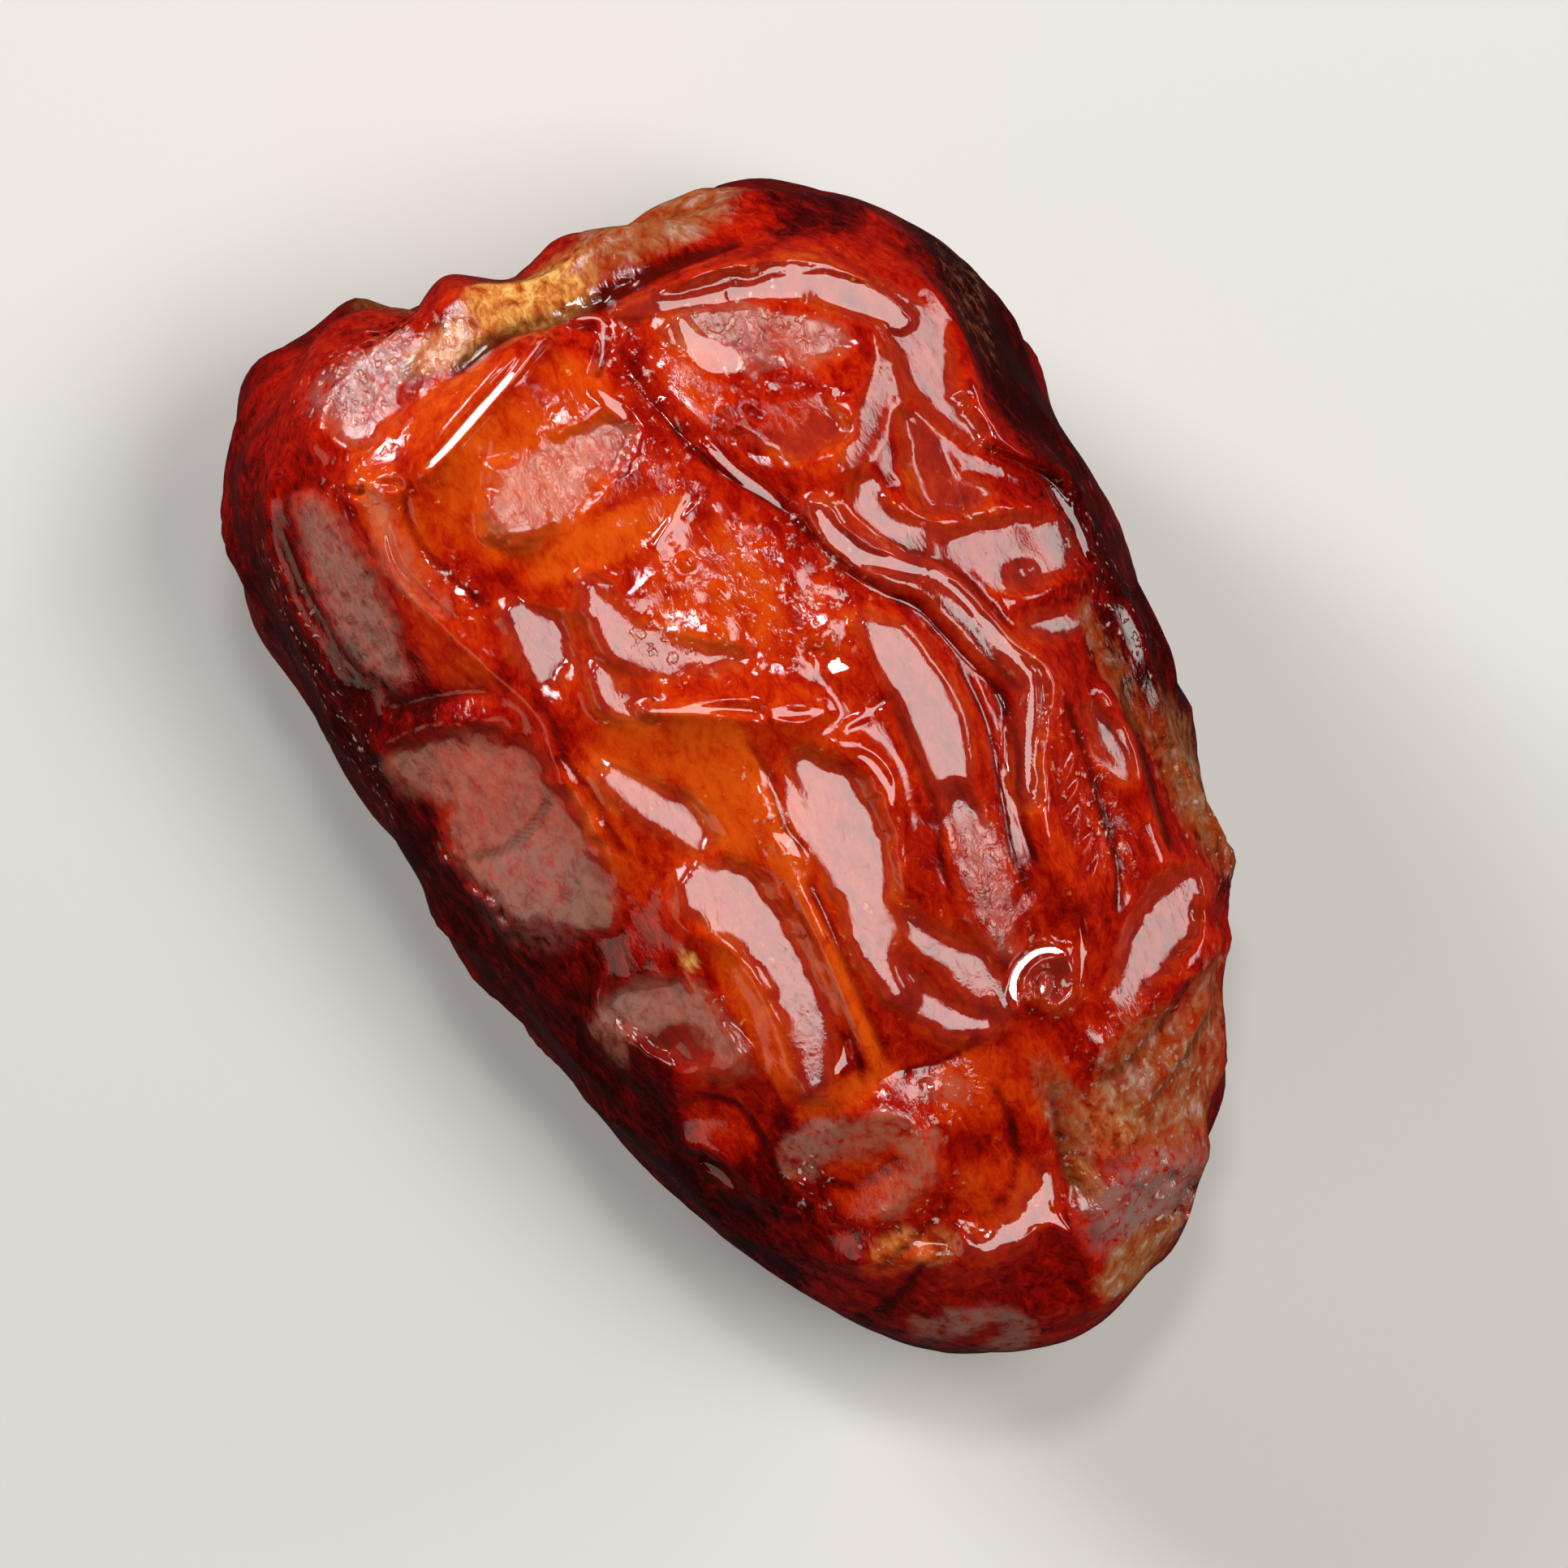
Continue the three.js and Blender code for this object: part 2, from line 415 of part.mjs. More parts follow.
// A panel's line: its half-width, and the height of its plane less the lean from its middle.
function panelLine({ stroke, lean, follows }, relief) {
  const flat = stroke.map(([x, y, half]) => [...straighten([x, y]), half]);
  const middle = flat[Math.floor(flat.length / 2)];
  const leaning = ([x, y]) => lean[0] * (x - middle[0]) + lean[1] * (y - middle[1]);
  const mean = (values) => values.reduce((sum, value) => sum + value, 0) / values.length;
  const level = mean(flat.flatMap(([x, y, half]) => {
    const off = PANEL_SAMPLE * half;
    const spots = [[x, y], [x - off, y], [x + off, y], [x, y - off], [x, y + off]];
    return spots.map((spot) => looseSkin([...spot, upperHeight(spot)], relief)[2] - leaning(spot));
  }));
  const rises = flat.map((spot) => upperHeight(spot) - leaning(spot));
  const line = curveThrough(flat.map((spot, i) => [...spot, level + follows * (rises[i] - mean(rises))]));
  return { line, leaning };
}

// The upper side with its panels drawn flat and its dimples drawn in.
function tightSkin([x, y, z], panels, dimples) {
  if (z < 0) return z;
  let height = z;
  for (const { line, leaning } of panels) {
    const { away, at } = nearestOn(line, [x, y], 2);
    const inside = smooth(-PANEL_EDGE, PANEL_EDGE, at[2] - away);
    height += inside * (at[3] + leaning([x, y]) - height);
  }
  for (const { middle, radius, depth } of dimples) {
    const away = Math.hypot(x - middle[0], y - middle[1]) / radius;
    height -= depth * Math.max(0, 1 - away * away) ** 2;
  }
  return height;
}

// The whole skin: every corner of the box is put on the body and moved.
function dateGeometry() {
  const relief = skinRelief();
  const panels = UPPER_PANELS.map((panel) => panelLine(panel, relief));
  const dimples = UPPER_DIMPLES.map((dimple) => ({ ...dimple, middle: straighten(dimple.at) }));
  const box = new THREE.BoxGeometry(2, 2, 2, QUADS.along, QUADS.across, QUADS.up);
  box.deleteAttribute("normal");
  box.deleteAttribute("uv");
  const geometry = mergeVertices(box, 1e-4);
  const corners = geometry.getAttribute("position");
  for (let i = 0; i < corners.count; i += 1) {
    const loose = looseSkin(bodyPoint([corners.getX(i), corners.getY(i), corners.getZ(i)]), relief);
    const [x, y] = loose;
    const z = tightSkin(loose, panels, dimples);
    corners.setXYZ(i, x + slant(x, y), y + sway(x), Math.max(0, z + BODY.rest));
  }
  geometry.computeBoundingBox();
  const middle = geometry.boundingBox.getCenter(new THREE.Vector3());
  geometry.translate(-middle.x, -middle.y, 0);
  geometry.computeVertexNormals();
  return geometry;
}

const skin = new THREE.MeshStandardMaterial({ color: 0x7a1f0c, roughness: 0.22, metalness: 0 });
const date = new THREE.Mesh(dateGeometry(), skin);
date.name = "date_fruit";

const part = new THREE.Group();
part.add(date);

export default part;
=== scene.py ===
import math

import bmesh
import bpy
import numpy as np
from mathutils import Matrix, Vector
from mathutils.noise import fractal


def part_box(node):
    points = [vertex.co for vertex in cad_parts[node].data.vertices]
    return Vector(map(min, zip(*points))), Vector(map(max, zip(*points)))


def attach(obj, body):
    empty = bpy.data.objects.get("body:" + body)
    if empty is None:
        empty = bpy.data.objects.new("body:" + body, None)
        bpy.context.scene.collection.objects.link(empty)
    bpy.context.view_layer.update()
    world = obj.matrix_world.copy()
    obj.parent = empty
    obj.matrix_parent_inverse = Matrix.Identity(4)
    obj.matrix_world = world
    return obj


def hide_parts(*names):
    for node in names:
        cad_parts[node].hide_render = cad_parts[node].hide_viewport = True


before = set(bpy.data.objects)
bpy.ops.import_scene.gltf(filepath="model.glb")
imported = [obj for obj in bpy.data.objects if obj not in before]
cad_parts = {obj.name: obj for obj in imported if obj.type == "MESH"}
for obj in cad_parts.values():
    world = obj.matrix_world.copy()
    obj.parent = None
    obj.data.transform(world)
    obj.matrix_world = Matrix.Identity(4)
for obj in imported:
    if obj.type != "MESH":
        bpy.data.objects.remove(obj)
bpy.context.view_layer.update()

# One ripe, soft date. Its tables are in millimetres, with X along the fruit from stem end to tip and Z
# up from the body's axis; the finished skin is put in metres, where the frame has it.

# The body.
WIDEST_X = -7.0
STEM_LENGTH = 10.6
TIP_LENGTH = 24.8
HALF_WIDTH = 11.5
TOP = 9.8
UNDER = 8.8
REST = 8.3
STEM_ROUND = 3.6
TIP_ROUND = 1.9
SECTION_ROUND = 2.25
SWAY = dict(middle=0.15, each_way=0.75, at=-8.0, over=7.0)
STEM_SLANT = 0.1

# The finer mesh, and how crisp it lets folds and panels be.
QUADS = (104, 72, 52)
FINER_ABOVE = 0.4
CREST_RADIUS = 0.1
PANEL_EDGE = 0.3
CREST_EDGE = 0.1
PANEL_SAMPLE = 0.6
STEPS_PER_SPAN = 6

SCAR = dict(cup=5.4, depth=1.4, disc=2.3, disc_height=0.8, edge=0.12, puckers=9, pucker_height=0.35)

UPPER_FOLDS = [
    dict(name="stem panel rim", height=0.8, reach=1.1,
      route=[[-14.9, 1.4], [-14.5, 3.4], [-14, 5.6], [-13.2, 7.2], [-12, 7.9], [-10.4, 7.7], [-9, 6.5],
        [-8, 5.2], [-7, 4.3]]),
    dict(name="long side ridge", height=0.9, reach=1.1,
      route=[[-7, 4.3], [-5.4, 4.9], [-4.4, 6], [-3, 6.8], [-1.4, 7.3], [-0.2, 7.8], [1, 7.1], [2.8, 6.3],
        [4.6, 5.9], [6.6, 6.1], [8.6, 5.2]]),
    dict(name="shoulder branch", height=0.6, reach=1,
      route=[[-7.4, 5.8], [-6, 6.3], [-5.1, 7.3], [-4.8, 8.6], [-4.5, 9.9], [-2.7, 10.8]]),
    dict(name="shoulder rim", height=0.65, reach=1,
      route=[[-13, 8.3], [-11.8, 9.4], [-10.2, 9.7], [-8, 9.3], [-6.4, 9.7], [-5, 10.8], [-2.8, 11]]),
    dict(name="facet edge", height=0.5, reach=0.8, route=[[-2.6, 7.7], [-2.4, 9.2], [-2.7, 10.9]]),
    dict(name="upper rib", height=0.5, reach=0.9,
      route=[[-2.7, 10.9], [-0.4, 10.8], [2, 10.5], [4.2, 10.3], [6.2, 10.2], [8, 9.8], [9.4, 9.1]]),
    dict(name="upper swell", height=0.5, reach=1.1,
      route=[[0.2, 9.3], [1.8, 9.2], [3.6, 9.1], [5.4, 8.7], [7, 8.2]]),
    dict(name="middle swell", height=0.75, reach=1.3,
      route=[[-4.2, 3.9], [-2.6, 4.5], [-0.4, 4.8], [1.8, 4.5], [4, 4.2], [6.4, 3.9]]),
    dict(name="curl", height=0.4, reach=0.7,
      route=[[-1.2, 1], [-0.9, 2], [0, 2.7], [1.4, 2.6], [2.8, 2.1], [4.2, 1.7]]),
    dict(name="cross fold", height=0.75, reach=0.9,
      route=[[-1.9, 2.4], [-2.3, 1], [-3, -0.2], [-3.8, -1.6], [-4.6, -3], [-5.8, -3.5]]),
    dict(name="second cross fold", height=0.5, reach=0.8,
      route=[[-4, 0.8], [-4.7, -0.5], [-5.5, -1.6], [-6.6, -2.3], [-8, -2.6]]),
    dict(name="twin rib", height=0.35, reach=0.6, route=[[-1.2, -0.7], [2, -0.8], [5, -0.8], [8.4, -1.1]]),
    dict(name="lower panel crest", height=0.6, reach=0.9,
      route=[[0.6, -4.3], [1.9, -4], [3, -3.1], [4.6, -2.8], [6.4, -3], [8.4, -3.8]]),
    dict(name="front crest", height=0.85, reach=1.1,
      route=[[-15.3, -0.4], [-14.5, -2], [-13.8, -3.6], [-12.9, -5.6], [-13.1, -6.8], [-13.8, -8]]),
    dict(name="lower shoulder", height=0.6, reach=1,
      route=[[-12.9, -6.2], [-11.8, -6.9], [-10.4, -7.1], [-8.6, -6.5], [-6.8, -5.8], [-5, -5.1], [-3.4, -5.4],
        [-1.4, -5.1], [0.6, -5.1]]),
    dict(name="flank rib", height=0.5, reach=0.8,
      route=[[-5.3, -5.4], [-5.9, -7.4], [-6.4, -9.4], [-6.4, -10.4]]),
    dict(name="low flank rib", height=0.45, reach=0.9,
      route=[[-7.6, -9.9], [-9.6, -10.1], [-11.8, -10.2], [-13.6, -9.9], [-15, -8.9]]),
    dict(name="tip crest", height=0.7, reach=0.9,
      route=[[12.6, 2.3], [13.5, 1.4], [14, 0.3], [14.1, -0.6], [13.2, -1.9], [12.6, -3.4], [12.2, -4.9]]),
    dict(name="tip branch", height=0.45, reach=0.7,
      route=[[13.5, 1.6], [14.5, 2.1], [15.8, 2.2], [17.2, 1.8]]),
    dict(name="papery edge", height=0.5, reach=0.8,
      route=[[14, 7], [13.9, 5], [14.2, 3.4], [15.2, 2.5]]),
    dict(name="tip blister arch", height=0.45, reach=0.6,
      route=[[8.8, -4], [8.8, -2.2], [9.3, -0.9], [10.3, -0.5], [11.2, -1], [11.6, -2.2], [11.9, -3.4]]),
    dict(name="flank curl", height=0.45, reach=0.7, route=[[7.3, -7], [7.9, -6.1], [9, -5.5], [10.4, -5.2]]),
    dict(name="upper facet edge", height=0.45, reach=0.8,
      route=[[8.2, 9.5], [8.8, 8.4], [9.4, 7.2], [9.9, 5.6], [10.5, 4.4]]),
    dict(name="tip margin rib", height=0.3, reach=0.8,
      route=[[9.8, 8.6], [10.8, 7.6], [11.6, 6.4], [12.3, 5]]),
    dict(name="stem rim", height=0.5, reach=1,
      route=[[-15.7, 7.6], [-16.2, 5.6], [-16.3, 3.2], [-16.4, 0.8], [-16.6, -1.4], [-16.8, -3.4]]),
    dict(name="stem flank", height=0.4, reach=0.9,
      route=[[-17, -3.8], [-16.4, -5.4], [-15.4, -7], [-14.6, -8.4]]),
]

UPPER_CREASES = [
    dict(name="main crease", depth=0.4, reach=0.35,
      route=[[-15.2, 0.5], [-13.6, 0.9], [-12, 1.3], [-10.4, 1.8], [-9.2, 2.4], [-8, 3.2], [-6.8, 3.8],
        [-5.4, 4.3], [-4.3, 5], [-3.3, 5.7], [-1.8, 6.2], [-0.2, 6.7], [1.6, 6.1], [3.6, 5.5], [6.8, 5.1]]),
    dict(name="stem crease", depth=0.55, reach=0.6,
      route=[[-15.3, 7], [-15.3, 4], [-15.5, 1.4], [-15.6, -0.6], [-15.4, -2.6], [-14.9, -4.6]]),
    dict(name="groove above the side ridge", depth=0.4, reach=0.5,
      route=[[-6.3, 5.3], [-5, 6.2], [-4, 7], [-2.5, 7.5], [-1, 8]]),
    dict(name="flank crease", depth=0.4, reach=0.5, route=[[-6.4, -6], [-7, -8], [-7.3, -9.6]]),
    dict(name="tip crease", depth=0.4, reach=0.5, route=[[10.4, 3.4], [11.8, 3.1], [13, 2.7], [14, 3]]),
    dict(name="waist crease", depth=0.15, reach=0.8,
      route=[[8.7, 3.4], [8.8, 1.6], [8.2, -0.2], [8.6, -2], [8.7, -4.4]]),
]

UPPER_DOMES = [
    dict(name="flank blister", at=[4.4, -6], radius=3.2, height=0.7),
    dict(name="tip blister", at=[10.4, -2.2], radius=2.8, height=0.3),
    dict(name="bubble", at=[7.7, 4.5], radius=1.4, height=0.5),
    dict(name="upper facet", at=[7.8, 8.6], radius=3.4, height=0.7),
    dict(name="stem panel hollow", at=[-11.2, 4.4], radius=3.6, height=-0.35),
]

TOP_LEAN = [-0.07, -0.19]
FAR_SIDE = [0, -0.68]
NEAR_SIDE = [-0.05, 0.72]
UPPER_PANELS = [
    dict(name="shoulder", lean=FAR_SIDE, follows=0.3,
      stroke=[[-12.1, 8.5, 0.45], [-11.1, 8.9, 0.85], [-9.9, 8.85, 0.9], [-8.7, 8.8, 0.6], [-7.2, 9.2, 0.3]]),
    dict(name="stem panel lip", lean=TOP_LEAN, follows=0.1,
      stroke=[[-14.7, 1.7, 0.32], [-14.4, 3.2, 0.42], [-14.05, 4.8, 0.5], [-13.6, 6.3, 0.65],
        [-12.9, 7.3, 0.65], [-12, 7.9, 0.45]]),
    dict(name="stem panel far lip", lean=[0, -0.62], follows=0.3,
      stroke=[[-10.4, 7.9, 0.25], [-9.5, 7.4, 0.5], [-8.9, 6.7, 0.5], [-8, 5.6, 0.3]]),
    dict(name="stem panel, wrinkled part", lean=TOP_LEAN, follows=0.3,
      stroke=[[-13.6, 2.8, 0.5], [-13.1, 4, 0.8], [-12.2, 5.2, 0.9], [-11.5, 6.5, 0.6]]),
    dict(name="stem panel, smooth part", lean=[0.05, -0.4], follows=0.2,
      stroke=[[-10.6, 3.6, 0.6], [-9.8, 4.5, 1], [-9.4, 5.4, 0.7]]),
    dict(name="hollow under the shoulder", lean=[0.05, -0.42], follows=0.2,
      stroke=[[-8.4, 7.7, 0.3], [-7.4, 7.8, 0.7], [-6.3, 7.6, 0.7], [-5.8, 8.4, 0.5]]),
    dict(name="long side ridge", lean=TOP_LEAN, follows=0.9,
      stroke=[[-7.2, 4.3, 0.35], [-6.1, 4.6, 0.48], [-5, 5.3, 0.6], [-4.2, 6.3, 0.6], [-2.9, 6.8, 0.55],
        [-1.4, 7.2, 0.52], [-0.1, 7.7, 0.5], [0.8, 7.2, 0.46], [1.7, 6.6, 0.42], [2.8, 6.25, 0.35]]),
    dict(name="shoulder branch, near part", lean=TOP_LEAN, follows=0.5,
      stroke=[[-7.3, 5.7, 0.35], [-6.2, 5.8, 0.5], [-5.4, 6.3, 0.6], [-4.9, 6.9, 0.65]]),
    dict(name="shoulder branch, far part", lean=FAR_SIDE, follows=0.2,
      stroke=[[-4.5, 7.4, 0.65], [-4.1, 8.2, 0.95], [-3.7, 9, 1.15], [-3.6, 9.6, 0.95]]),
    dict(name="upright fold", lean=FAR_SIDE, follows=0,
      stroke=[[-1.6, 8.4, 0.3], [-1.4, 9, 0.42], [-1.2, 9.6, 0.34]]),
    dict(name="upper swell", lean=[-0.1, -0.68], follows=0,
      stroke=[[1.4, 9, 0.32], [2.3, 9.1, 0.52], [3.2, 9.1, 0.35]]),
    dict(name="upper facet", lean=[-0.12, -0.66], follows=0.1,
      stroke=[[7.1, 9.4, 0.6], [7.35, 8.9, 0.85], [7.9, 8.1, 0.85], [8.5, 7.2, 0.72], [9, 6.5, 0.5]]),
    dict(name="bubble", lean=TOP_LEAN, follows=0,
      stroke=[[7.3, 4.5, 0.65], [7.8, 4.6, 0.8], [8.2, 4.7, 0.55]]),
    dict(name="middle swell", lean=TOP_LEAN, follows=0.3,
      stroke=[[-3.8, 4.1, 0.32], [-2.7, 4.55, 0.66], [-1.2, 4.75, 0.85], [0.4, 4.6, 0.82], [1.9, 4.3, 0.5]]),
    dict(name="middle swell, creased end", lean=[-0.12, -0.2], follows=0.4,
      stroke=[[2, 4.35, 0.5], [3, 4.3, 0.72], [4.4, 4.15, 0.8], [5.5, 4, 0.75], [6.4, 3.8, 0.45]]),
    dict(name="hook, far side", lean=[-0.12, -0.19], follows=0.3,
      stroke=[[4.4, 1.6, 0.32], [5.5, 1.95, 0.5], [6.4, 2.6, 0.65], [7.7, 2.75, 0.68]]),
    dict(name="hook, near side", lean=[-0.12, -0.19], follows=0.3,
      stroke=[[5.6, 0.85, 0.35], [6.7, 0.95, 0.52], [7.6, 1.5, 0.55], [8.1, 2.3, 0.45]]),
    dict(name="centre", lean=[-0.1, -0.19], follows=0.3,
      stroke=[[-0.7, 0.8, 0.55], [0.5, 1.15, 0.95], [1.9, 1.1, 1.08], [3.3, 0.8, 0.92], [4.7, 0.5, 0.7],
        [6.2, 0.45, 0.4]]),
    dict(name="cross fold", lean=TOP_LEAN, follows=0.1,
      stroke=[[-7.9, -2.5, 0.42], [-7, -2.65, 0.62], [-6, -2.3, 0.72], [-5.3, -1.5, 0.66], [-4.8, -0.6, 0.5],
        [-4.4, 0.3, 0.3]]),
    dict(name="cross fold foot", lean=TOP_LEAN, follows=0.1,
      stroke=[[-5.8, -3.5, 0.32], [-4.8, -3.3, 0.52], [-4.2, -2.7, 0.42]]),
    dict(name="pebble", lean=TOP_LEAN, follows=0,
      stroke=[[-8.1, -4.8, 0.5], [-7.3, -4.55, 0.92], [-6.6, -4.5, 0.8]]),
    dict(name="oblique", lean=TOP_LEAN, follows=0.1,
      stroke=[[-2.9, -4.5, 0.36], [-2.1, -4, 0.6], [-1.2, -3.3, 0.72], [-0.3, -2.7, 0.55]]),
    dict(name="lower", lean=[-0.13, -0.19], follows=0.15,
      stroke=[[1.2, -3.4, 0.8], [1.9, -2.65, 1.05], [3, -2.3, 0.9], [4.5, -2.15, 0.75], [6, -2.25, 0.68],
        [7.6, -2.7, 0.5]]),
    dict(name="hatched", lean=[0, -0.2], follows=0.2,
      stroke=[[-11.6, -0.2, 0.6], [-11.25, -1.6, 1], [-11, -3, 1.2], [-10.8, -3.6, 0.95]]),
    dict(name="stem flank", lean=[0.53, 0.23], follows=0,
      stroke=[[-16.7, -4.4, 0.6], [-16, -5.6, 0.95], [-15.1, -6.8, 0.65]]),
    dict(name="large flank", lean=NEAR_SIDE, follows=0.4,
      stroke=[[-5.5, -9.4, 0.75], [-4.5, -7.9, 1.55], [-2.9, -7.6, 1.95], [-1.2, -7.2, 1.85],
        [0.1, -6.5, 1.05]]),
    dict(name="low flank", lean=[0, 0.78], follows=0.4,
      stroke=[[-13.4, -8.9, 0.5], [-11.6, -8.8, 0.75], [-9.8, -8.7, 0.7], [-8.3, -8.6, 0.4]]),
    dict(name="flank blister", lean=NEAR_SIDE, follows=0,
      stroke=[[3.3, -6.9, 0.6], [3.9, -5.9, 1.1], [4.9, -5.2, 1.05], [5.9, -4.8, 0.6]]),
    dict(name="tip", lean=[-0.12, -0.19], follows=0,
      stroke=[[12.8, 2.05, 0.35], [13.4, 1.65, 0.55], [13.8, 0.9, 0.48], [14.05, 0.1, 0.46],
        [13.8, -0.7, 0.4]]),
]

UPPER_DIMPLES = [
    dict(name="bubble", at=[7.85, 4.55], radius=0.8, depth=0.35),
    dict(name="flank blister", at=[5.2, -5.8], radius=1, depth=0.3),
    dict(name="tip blister", at=[10.6, -2.7], radius=1.4, depth=0.35),
    dict(name="shoulder branch", at=[-3.1, 8.8], radius=0.6, depth=0.2),
    dict(name="tip", at=[16.6, -1.1], radius=1.1, depth=0.4),
]

# Finer than the folds and panels: crests that are narrow flat ribs, as strokes like the panels'.
STEMWARD = [0.745, 0.366]
FRONT_LINE = [[-14.95, -0.8, 0.14], [-14.3, -2.2, 0.17], [-13.6, -3.8, 0.18], [-12.9, -5.5, 0.15]]
CREST_LINES = [
    (TOP_LEAN, [[-10.3, 2.05, 0.14], [-9.3, 2.5, 0.22], [-8.4, 3, 0.24], [-7.5, 3.45, 0.16]]),
    (TOP_LEAN, [[-1.9, 2.1, 0.14], [-2.2, 1.2, 0.2], [-2.7, 0.3, 0.2]]),
    (TOP_LEAN, [[-2.7, 0.3, 0.2], [-3.2, -0.6, 0.18], [-3.7, -1.8, 0.2], [-4.1, -2.6, 0.22]]),
    (TOP_LEAN, [[-0.6, 2.2, 0.1], [0, 2.6, 0.18], [0.8, 2.7, 0.18], [1.4, 2.5, 0.1]]),
    (TOP_LEAN, [[-1.5, 3.8, 0.1], [-1.35, 3, 0.12], [-1.3, 2.3, 0.1]]),
    (TOP_LEAN, [[-9, 1.1, 0.1], [-8.6, 0.3, 0.13], [-8.2, -0.4, 0.1]]),
    (TOP_LEAN, [[-13.8, 3, 0.2], [-13.2, 3.05, 0.32], [-12.5, 3.35, 0.6], [-12, 3.8, 0.42]]),
    (TOP_LEAN, [[-15.1, 0.2, 0.14], [-14.8, 0.9, 0.17], [-14.1, 0.7, 0.17], [-13.4, 0.2, 0.14]]),
    (TOP_LEAN, [[-13, 0, 0.15], [-12.3, 0.25, 0.22], [-11.8, 0.45, 0.15]]),
    (FAR_SIDE, [[-6.8, 9.4, 0.12], [-6.1, 10, 0.14], [-5.3, 10.6, 0.18], [-4.2, 10.8, 0.22], [-3.2, 10.8, 0.22], [-2.7, 10.7, 0.14]]),
    (TOP_LEAN, [[-13, -6.4, 0.14], [-13.2, -6.9, 0.16]]),
    (TOP_LEAN, [[-13.25, -7.4, 0.12], [-13.4, -7.8, 0.12]]),
    ([-0.16, -0.19], [[13.5, -1.2, 0.12], [13.1, -1.9, 0.14], [12.8, -2.5, 0.12]]),
    (TOP_LEAN, [[0.5, -0.8, 0.12], [1.1, -0.5, 0.22], [1.6, -0.4, 0.12]]),
    (NEAR_SIDE, [[8.3, -6.7, 0.12], [8.8, -6.4, 0.2], [9.4, -6.2, 0.2]]),
    (TOP_LEAN, [[6.5, 6.1, 0.1], [7.4, 5.8, 0.15], [8.5, 5.2, 0.1]]),
    (TOP_LEAN, [[6.8, -1.5, 0.1], [7.3, -1.7, 0.2], [7.7, -2.1, 0.15]]),
    ([0.02, 0.62], [[-12.3, -7, 0.08], [-11, -7.3, 0.12], [-9.6, -6.9, 0.12], [-8.4, -6.2, 0.1]]),
    (TOP_LEAN, [[2.1, 7.9, 0.12], [2.5, 7.4, 0.14]]),
    (TOP_LEAN, [[2.8, 7.8, 0.1], [3.1, 7.2, 0.13]]),
    (TOP_LEAN, [[3.5, 7.5, 0.12], [3.8, 7, 0.14]]),
    (TOP_LEAN, [[4.4, 7.5, 0.1], [4.6, 7, 0.12]]),
    (TOP_LEAN, [[5.1, 7.3, 0.1], [5.4, 6.9, 0.1]]),
]
# The forked crest at the tip, which stands up and catches the light: its line goes out along the fork's far
# arm and back.
TIP_LEAN = [-0.12, -0.19]
TIP_CREST = [
    [12.75, 2.15, 0.2], [13.25, 1.85, 0.3], [13.7, 1.45, 0.36], [14.15, 1.8, 0.24], [14.6, 2.05, 0.16],
    [14.15, 1.8, 0.24], [13.72, 1.4, 0.36], [13.95, 0.7, 0.25], [14.1, 0, 0.25], [13.95, -0.5, 0.23],
    [13.4, -0.75, 0.14],
]
# A soft dip beside the stem panel's lip.
DIP_LEAN = [0.03, 0]
DIP = [[-12.3, 5.5, 0.35], [-11.8, 6.2, 0.45], [-11.4, 6.9, 0.4]]
# Longer crests, which keep to the body's fall along them.
SPINES = [
    [[-7.05, 4.2, 0.3], [-6.2, 4.4, 0.36], [-5.5, 4.75, 0.34], [-4.9, 5.5, 0.28], [-4.2, 6.4, 0.22]],
    [[-4.2, 6.4, 0.22], [-3.4, 6.85, 0.18], [-2.4, 7.15, 0.18], [-1, 7.6, 0.2], [-0.3, 7.8, 0.18]],
    [[-0.3, 7.8, 0.18], [0.7, 7.25, 0.24], [1.7, 6.7, 0.24], [2.7, 6.25, 0.16]],
    [[-14.75, 1.5, 0.2], [-14.4, 2.6, 0.24], [-14.1, 3.6, 0.26], [-13.8, 4.8, 0.32]],
    [[-13.8, 4.8, 0.32], [-13.4, 6, 0.45], [-12.9, 7.1, 0.55], [-12.3, 7.8, 0.58], [-11.7, 8.35, 0.5],
        [-11.2, 8.7, 0.4]],
]
# Tiny flat-topped blisters that glint.
GLINT_LEAN = [0.136, -0.056]
GLINTS = [
    [[-3.15, 2.65, 0.36], [-2.85, 2.95, 0.36]], [[-3.6, 2.35, 0.2], [-3.45, 2.5, 0.2]], [[-4.55, 3.8, 0.15], [-4.4, 4, 0.15]],
    [[-12.1, 1.5, 0.13], [-11.9, 1.6, 0.13]], [[-9.5, -6.1, 0.16], [-9.2, -5.8, 0.16]],
    [[9.8, -4.3, 0.18], [10.2, -4.1, 0.18]], [[15.1, 5.9, 0.16], [15.4, 6.1, 0.16]],
    [[15.6, 5.2, 0.2], [15.8, 5.4, 0.2]], [[9, 0.1, 0.12], [9.2, 0.3, 0.12]],
    [[7.25, 5.35, 0.13], [6.95, 4.9, 0.2], [6.9, 4.4, 0.22], [7.1, 3.9, 0.22], [7.5, 3.55, 0.2], [8.15, 3.42, 0.14]],
    [[7.7, 4.45, 0.12], [7.9, 4.3, 0.18], [8.1, 4.2, 0.12]], [[8.05, 4.95, 0.1], [8.2, 4.9, 0.1]],
]
